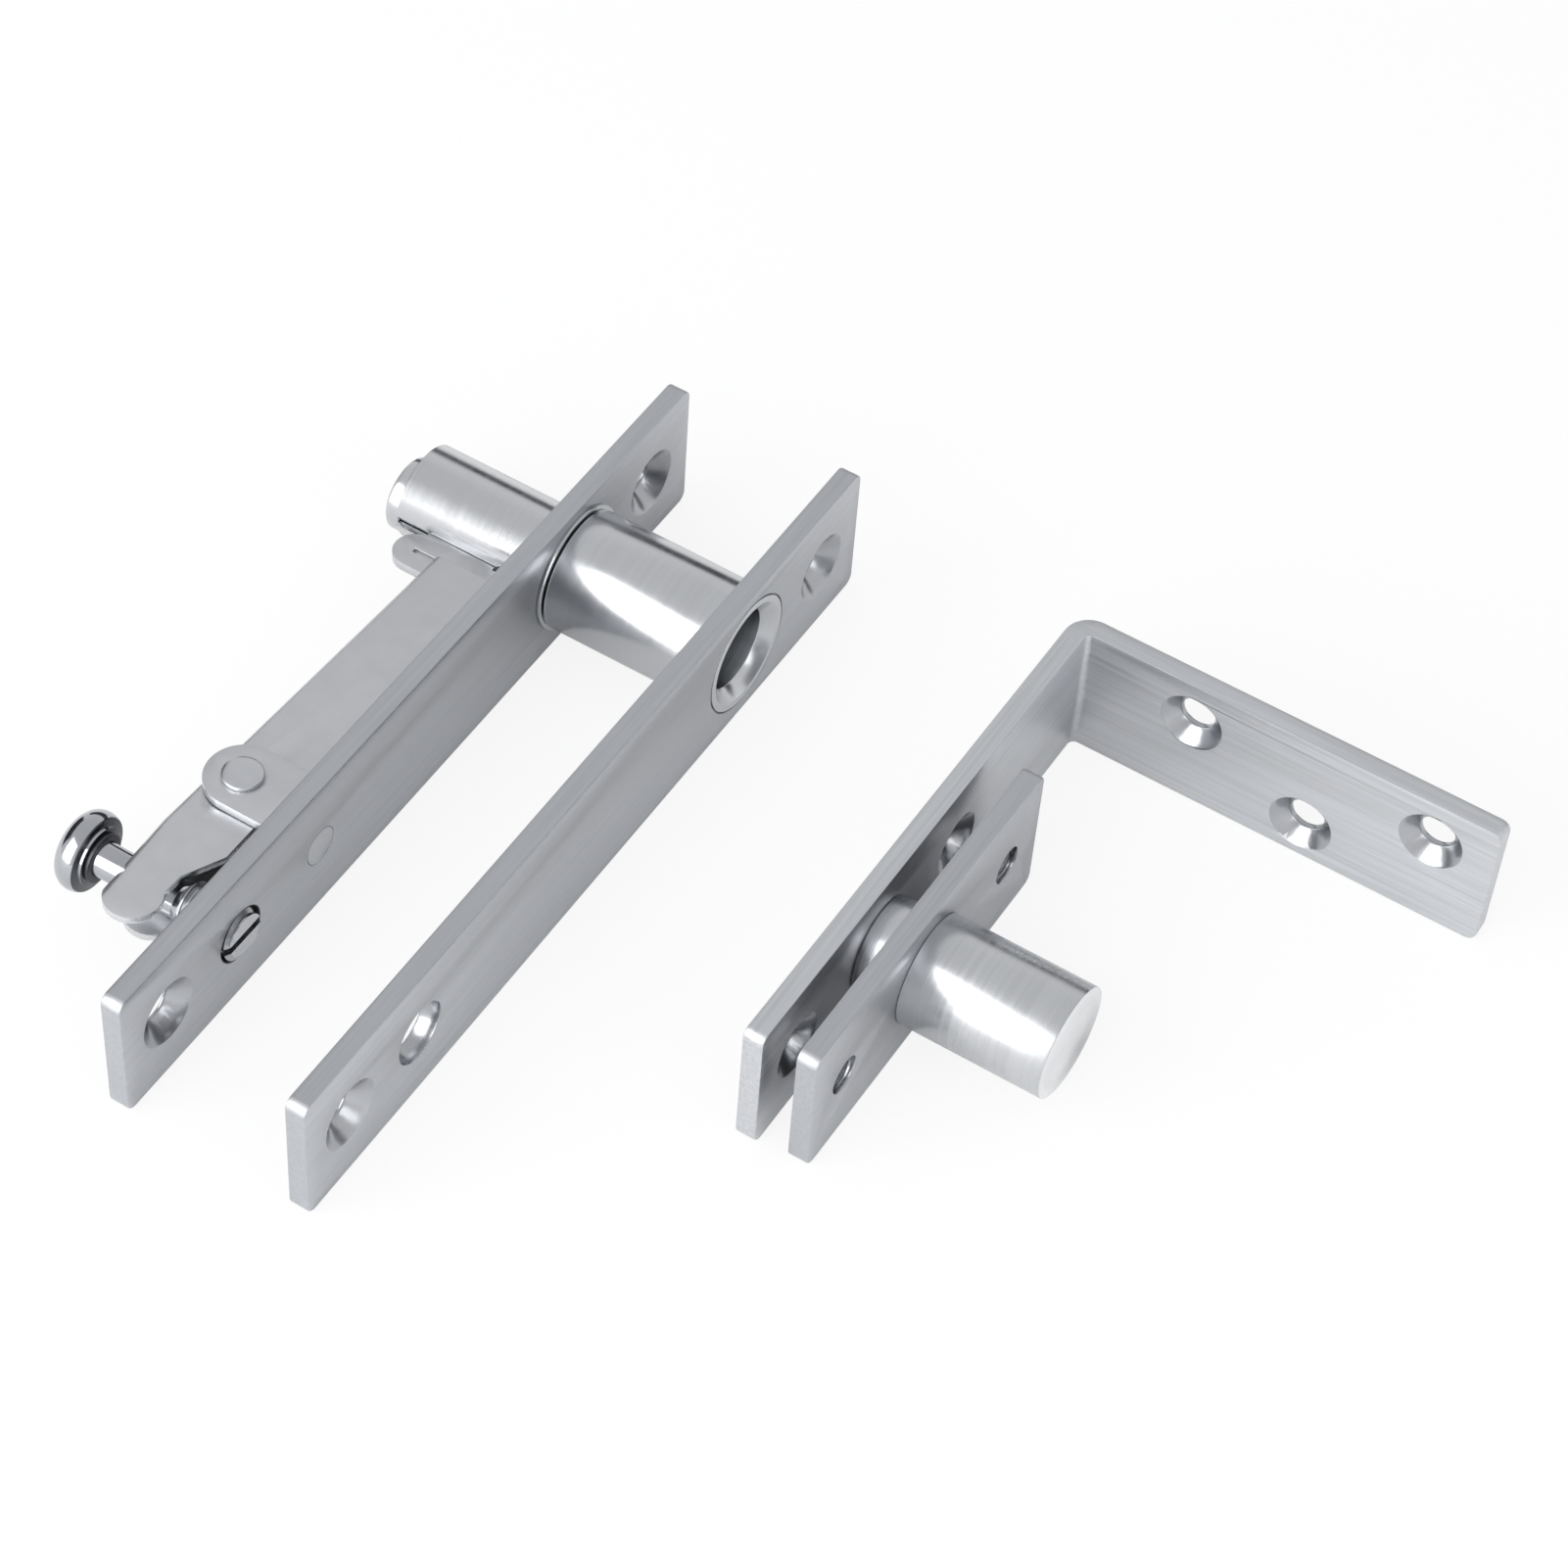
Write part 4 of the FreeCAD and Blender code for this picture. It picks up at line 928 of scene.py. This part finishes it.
# %% The spacer washer and the thrust washer
spacer = lathe(
    "spacer", closed([(69.7, 5.0), (73.8, 5.0), (73.8, 7.0), (69.7, 7.0)]), "X", CUP_AXIS)
break_edges(spacer, 0.3, MAIN)
wears(spacer, "spacer_washer", TURNED_CUP)
washer = lathe(
    "washer", closed([(-20.2, 2.55), (-20.2, 3.6), (-20.8, 3.6), (-20.8, 2.55)]), "X", SCREW_AXIS)
break_edges(washer, 0.12, MAIN)
# The loose ring gets near black steel, which is painted shade.
wears(washer, "thrust_washer", PAINTED_DEEP_SHADE)
print("washers:", len(spacer.data.polygons), len(washer.data.polygons), "faces")

# %% [markdown]
# The lever rocks on a rivet whose two heads are low domes, as a hammer or a press leaves them. A
# flat head would be simpler, but it reflects one even grey. The dome has three short steps, and
# smooth shading rounds them.

# %% The rivet of the lever
FULCRUM = (-10.7, -23.1, 11)
rivet = lathe("rivet", [
    (4.1, 0), (4.14, 1.4), (4.25, 2.3), (4.42, 2.85), (5.0, 2.85),  # lower head
    (5.0, 2.0), (17.0, 2.0),  # shank
    (17.0, 2.85), (17.58, 2.85), (17.75, 2.3), (17.86, 1.4), (17.9, 0),  # upper head
], "Z", FULCRUM)
break_edges(rivet, 0.15, MAIN, segments=3)
wears(rivet, "fulcrum_rivet", RIVETED)
print("rivet of the lever:", len(rivet.data.polygons), "faces")

# %% [markdown]
# The rivet of the clevis is ground flush with the plate's face. Only a fine ring shows there,
# because both the rivet and its hole have a broken edge, so no line has to be drawn. The cross pin
# in the lever's far end is a plain pin, a little shorter than the lever is wide, because its hole
# is closed.

# %% The flush rivet and the cross pin
CLEVIS_RIVET_AXIS = (0, -23.1, 11)
flush_rivet = lathe("flush_rivet", [
    (1.5, 0), (1.5, 2.8), (-3.0, 2.8), (-3.0, 4.0), (-4.0, 3.0), (-4.0, 0),
], "X", CLEVIS_RIVET_AXIS)
break_edges(flush_rivet, 0.12, MAIN)
wears(flush_rivet, "bracket_rivet", turned_steel(
    "turned_rivet", CLEVIS_RIVET_AXIS, (0.54, 0.55, 0.57), rough=(0.26, 0.36)))

cross_pin = lathe(
    "cross_pin_short", [(7.1, 0), (7.1, 1.5), (14.9, 1.5), (14.9, 0)], "Z", CROSS_PIN)
break_edges(cross_pin, 0.1, MAIN)
wears(cross_pin, "cross_pin", TURNED_PIN)
print("flush rivet and cross pin:", [len(p.data.polygons) for p in (flush_rivet, cross_pin)])

# %% [markdown]
# ## The adjusting screw
#
# The screw has four parts in one piece: a thread with a slotted end, a cone, a smooth neck, and a
# round knob behind a thin collar. Rings on a cylinder would pass for a thread from afar, but not
# where it ends. So one tooth is drawn, and a screw modifier winds it around the axis, a few times
# too often. A bisection cuts it square at both ends, which leaves nearly seven turns.
#
# The thread is a little thinner than its hole, and its end stands just proud of the plate, which
# leaves the dark gap around it.

# %% The thread
PITCH, CREST, ROOT = 1.25, 3.72, 3.15
WIND_STEPS, SPARE_TURNS = 64, 3
MERGE_WOUND, MERGE_SEAM, ON_THE_CUT = 0.002 * MM, 0.003 * MM, 0.0001 * MM
THREAD_START, THREAD_END = -6.3, 2.1


def thread(name, start, end):
    """A right-hand thread from one place on the screw axis to another, closed at both ends."""
    tooth = [
        (0.0, ROOT), (0.08, ROOT), (0.53, CREST), (0.72, CREST), (1.17, ROOT), (PITCH, ROOT),
    ]
    piece = draw_profile(name, [Vector((x, 0, radius)) * MM for x, radius in tooth])
    select_only(piece)
    wind = piece.modifiers.new("wind", "SCREW")
    wind.axis = "X"
    wind.steps = wind.render_steps = WIND_STEPS
    wind.screw_offset = PITCH * MM
    wind.iterations = math.ceil((end - start) / PITCH) + SPARE_TURNS
    wind.use_merge_vertices = True
    wind.merge_threshold = MERGE_WOUND
    bpy.ops.object.modifier_apply(modifier="wind")
    first_turn = start - SPARE_TURNS / 2 * PITCH
    piece.location = Vector((first_turn, SCREW_AXIS[1], SCREW_AXIS[2])) * MM
    bpy.ops.object.transform_apply(location=True, rotation=False, scale=False)
    bpy.ops.object.mode_set(mode="EDIT")
    bpy.ops.mesh.select_all(action="SELECT")
    bpy.ops.mesh.remove_doubles(threshold=MERGE_SEAM)
    for place, side in ((start, -1), (end, 1)):
        bpy.ops.mesh.select_all(action="SELECT")
        bpy.ops.mesh.bisect(
            plane_co=(place * MM, 0, 0), plane_no=(side, 0, 0), use_fill=True, clear_outer=True,
            threshold=ON_THE_CUT,
        )
    bpy.ops.mesh.select_all(action="SELECT")
    bpy.ops.mesh.normals_make_consistent(inside=False)
    bpy.ops.object.mode_set(mode="OBJECT")
    return piece


threaded = thread("screw_thread", THREAD_START, THREAD_END)
print("thread:", len(threaded.data.polygons), "faces")

# %% [markdown]
# A real screw starts with a small cone, so that it finds its hole. A bevel would stumble over the
# crests of the thread where they run out. Drawing in the rim of the end towards the axis gives the
# same cone on any outline.

# %% The cone at the thread's end
END_SHRINK = 0.9
HAIR = 0.02  # mm, within which a corner is at a place


def select_at(piece, x):
    """Selects the vertices that lie at one place along X, and stays in edit mode."""
    select_only(piece)
    bpy.ops.object.mode_set(mode="EDIT")
    bpy.ops.mesh.select_mode(type="VERT")
    bpy.ops.mesh.select_all(action="DESELECT")
    bpy.ops.object.mode_set(mode="OBJECT")
    for vertex in piece.data.vertices:
        vertex.select = abs(vertex.co.x / MM - x) < HAIR
    bpy.ops.object.mode_set(mode="EDIT")


screw_end = Vector((THREAD_END, SCREW_AXIS[1], SCREW_AXIS[2])) * MM
select_at(threaded, THREAD_END)
bpy.ops.transform.resize(value=(1, END_SHRINK, END_SHRINK), center_override=screw_end)
bpy.ops.object.mode_set(mode="OBJECT")
print("radius of the thread's end:", round(CREST * END_SHRINK, 2), "mm")

# %% [markdown]
# A screwdriver turns the screw in a slot, sawn across its end. It could be drawn into the mesh, but
# there the teeth are in the way. So the slot is a box taken away from the thread. A boolean leaves
# a clean closed mesh as long as both shapes are closed, and the box reaches past the screw on every
# side but its floor.

# %% The slot
SLOT_WIDTH, SLOT_DEPTH = 1.3, 1.6


def cut_slot(piece, middle):
    """Cuts a screwdriver slot, which runs along Y, into the end of the thread."""
    select_only()
    bpy.ops.mesh.primitive_cube_add(size=1, location=middle)
    cutter = bpy.context.active_object
    cutter.scale = Vector((2 * SLOT_DEPTH, 3 * CREST, SLOT_WIDTH)) * MM
    bpy.context.view_layer.update()
    cut = piece.modifiers.new("slot", "BOOLEAN")
    cut.operation = "DIFFERENCE"
    cut.object = cutter
    cut.solver = "EXACT"
    select_only(piece)
    bpy.ops.object.modifier_apply(modifier="slot")
    bpy.data.objects.remove(cutter)


cut_slot(threaded, screw_end)
print("thread with slot:", len(threaded.data.polygons), "faces")

# %% [markdown]
# The knob's rim is a full round bead, so its profile is an arc with many short steps. A torus would
# give the bead too, but not the flat back and the hollow front that it runs into. The rest of the
# profile is the cone, the neck and the collar, taken from the end that touches the thread.

# %% Neck, collar and knob
BEAD_RADIUS, KNOB_RADIUS, FACE_ANGLE, ARC_STEPS = 2.5, 5.75, 34, 24
NECK_RADIUS, COLLAR_RADIUS = 2.5, 4.2
COLLAR_X, KNOB_X = -20.85, -21.25


def knob_profile():
    """Places and radii from the thread's end to the middle of the knob's back."""
    middle = KNOB_X - BEAD_RADIUS * math.sin(math.radians(FACE_ANGLE))
    arc = []
    for step in range(ARC_STEPS + 1):
        angle = math.radians(FACE_ANGLE - (FACE_ANGLE + 90) * step / ARC_STEPS)
        radius = KNOB_RADIUS - BEAD_RADIUS + BEAD_RADIUS * math.cos(angle)
        arc.append((middle + BEAD_RADIUS * math.sin(angle), radius))
    neck = [
        (-6.25, 0), (-6.25, 3.67), (-6.35, CREST), (-7.8, NECK_RADIUS),
        (COLLAR_X, NECK_RADIUS), (COLLAR_X, COLLAR_RADIUS), (KNOB_X, COLLAR_RADIUS),
    ]
    return [*neck, *arc, (middle - BEAD_RADIUS, 0)]


knob = lathe("screw_knob", knob_profile(), "X", SCREW_AXIS)
break_edges(knob, 0.08, MAIN)
print("knob:", len(knob.data.polygons), "faces")

# %% [markdown]
# The two halves are joined, because the screw turns and travels as one piece. They overlap by a
# hair inside the cone. A union would weld them, but it would also cut up the smooth neck, and the
# seam never shows. The faces get their steels before they are joined: polished, the dull front of
# the knob with its painted shade, the thread with its painted shade, and the flat of its end.

# %% Join and finish the screw
SCREW_SMOOTH = math.radians(25)


def on_knob_front(c, n):
    """Tells whether a face is on the hollow front of the knob, beside the collar."""
    return n.x > 0.45 and -23.5 < c.x < -20.8


for half in (knob, threaded):
    select_only(half)
    bpy.ops.object.shade_smooth_by_angle(angle=SCREW_SMOOTH)
knob.data.materials.append(POLISHED)
knob.data.materials.append(KNOB_FRONT_PAINTED_SHADE)
# The hollow front of the knob gets near black steel, which is painted shade.
dull = paint(knob, SECOND, on_knob_front)
# The thread gets its darker steel, painted shade in its grooves, and the flat of its end a lighter
# one.
threaded.data.materials.append(THREAD_PAINTED_SHADE)
threaded.data.materials.append(RIVETED)
paint(threaded, SECOND, lambda c, n: n.x > 0.98 and c.x > THREAD_END - 0.1)
select_only(knob, threaded)
bpy.ops.object.join()
knob.name = "adjusting_screw_finished"
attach(knob, BODY_OF["adjusting_screw"])
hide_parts("adjusting_screw")
print("screw:", len(knob.data.polygons), "faces,", dull, "of them on the dull front of the knob")

# %% [markdown]
# ## The sleeve, the key and the pin
#
# The sleeve guides the pin, and a flat key beside it draws the pin back. The sleeve has a slot for
# the key and the key has a slit, so neither is a plain turned shape, and both are merged copies as
# the plates are. Their edges are broken only a little.

# %% Sleeve and key
def copied(node, width, material):
    """A merged copy with narrow broken edges and one material."""
    piece = merged_copy(node)
    break_edges(piece, width, MAIN)
    wears(piece, node, material)
    print(node, len(piece.data.polygons), "faces")


copied("pin_sleeve", 0.12, TURNED_PIN)
copied("drive_key", 0.1, SHEET)

# %% [markdown]
# The pin slides in the sleeve, and its head, behind the sleeve, sits a little off the pin's axis.
# Both are turned and then joined. A copy of the CAD piece would bring the seat of the key with it,
# but that is inside the sleeve, where it never shows, and a turned pin is rounder.

# %% The pin and its head
HEAD_AXIS = (0, 35.5, 10.2)
pin = lathe("pin_finished", [
    (11.9, 0), (11.9, 5.0), (10.9, 6.0), (-23.8, 6.0), (-23.8, 0),
], "X", PIN_AXIS)
head = lathe("pin_head", [
    (-23.6, 0), (-23.6, 5.2), (-23.8, 5.4), (-25.6, 5.4), (-26.0, 5.0), (-26.0, 0),
], "X", HEAD_AXIS)
for piece in (pin, head):
    break_edges(piece, 0.08, MAIN)
select_only(pin, head)
bpy.ops.object.join()
wears(pin, "pivot_pin", TURNED_PIN)
print("pin:", len(pin.data.polygons), "faces")

# %% [markdown]
# What is left sits inside other pieces: the dowel of the key, the fixed pin in the cup and the disc
# under it. Their shapes are right and no edge of theirs shows, so the CAD pieces stay and only get
# their steel.

# %% The hidden pieces
HIDDEN = {"key_pin": TURNED_PIN, "bottom_pin": RIVETED, "thrust_disc": TURNED_CUP}
for node, material in HIDDEN.items():
    for material_slot in frame["nodes"][node].material_slots:
        material_slot.material = material
    print(node, "wears", material.name)
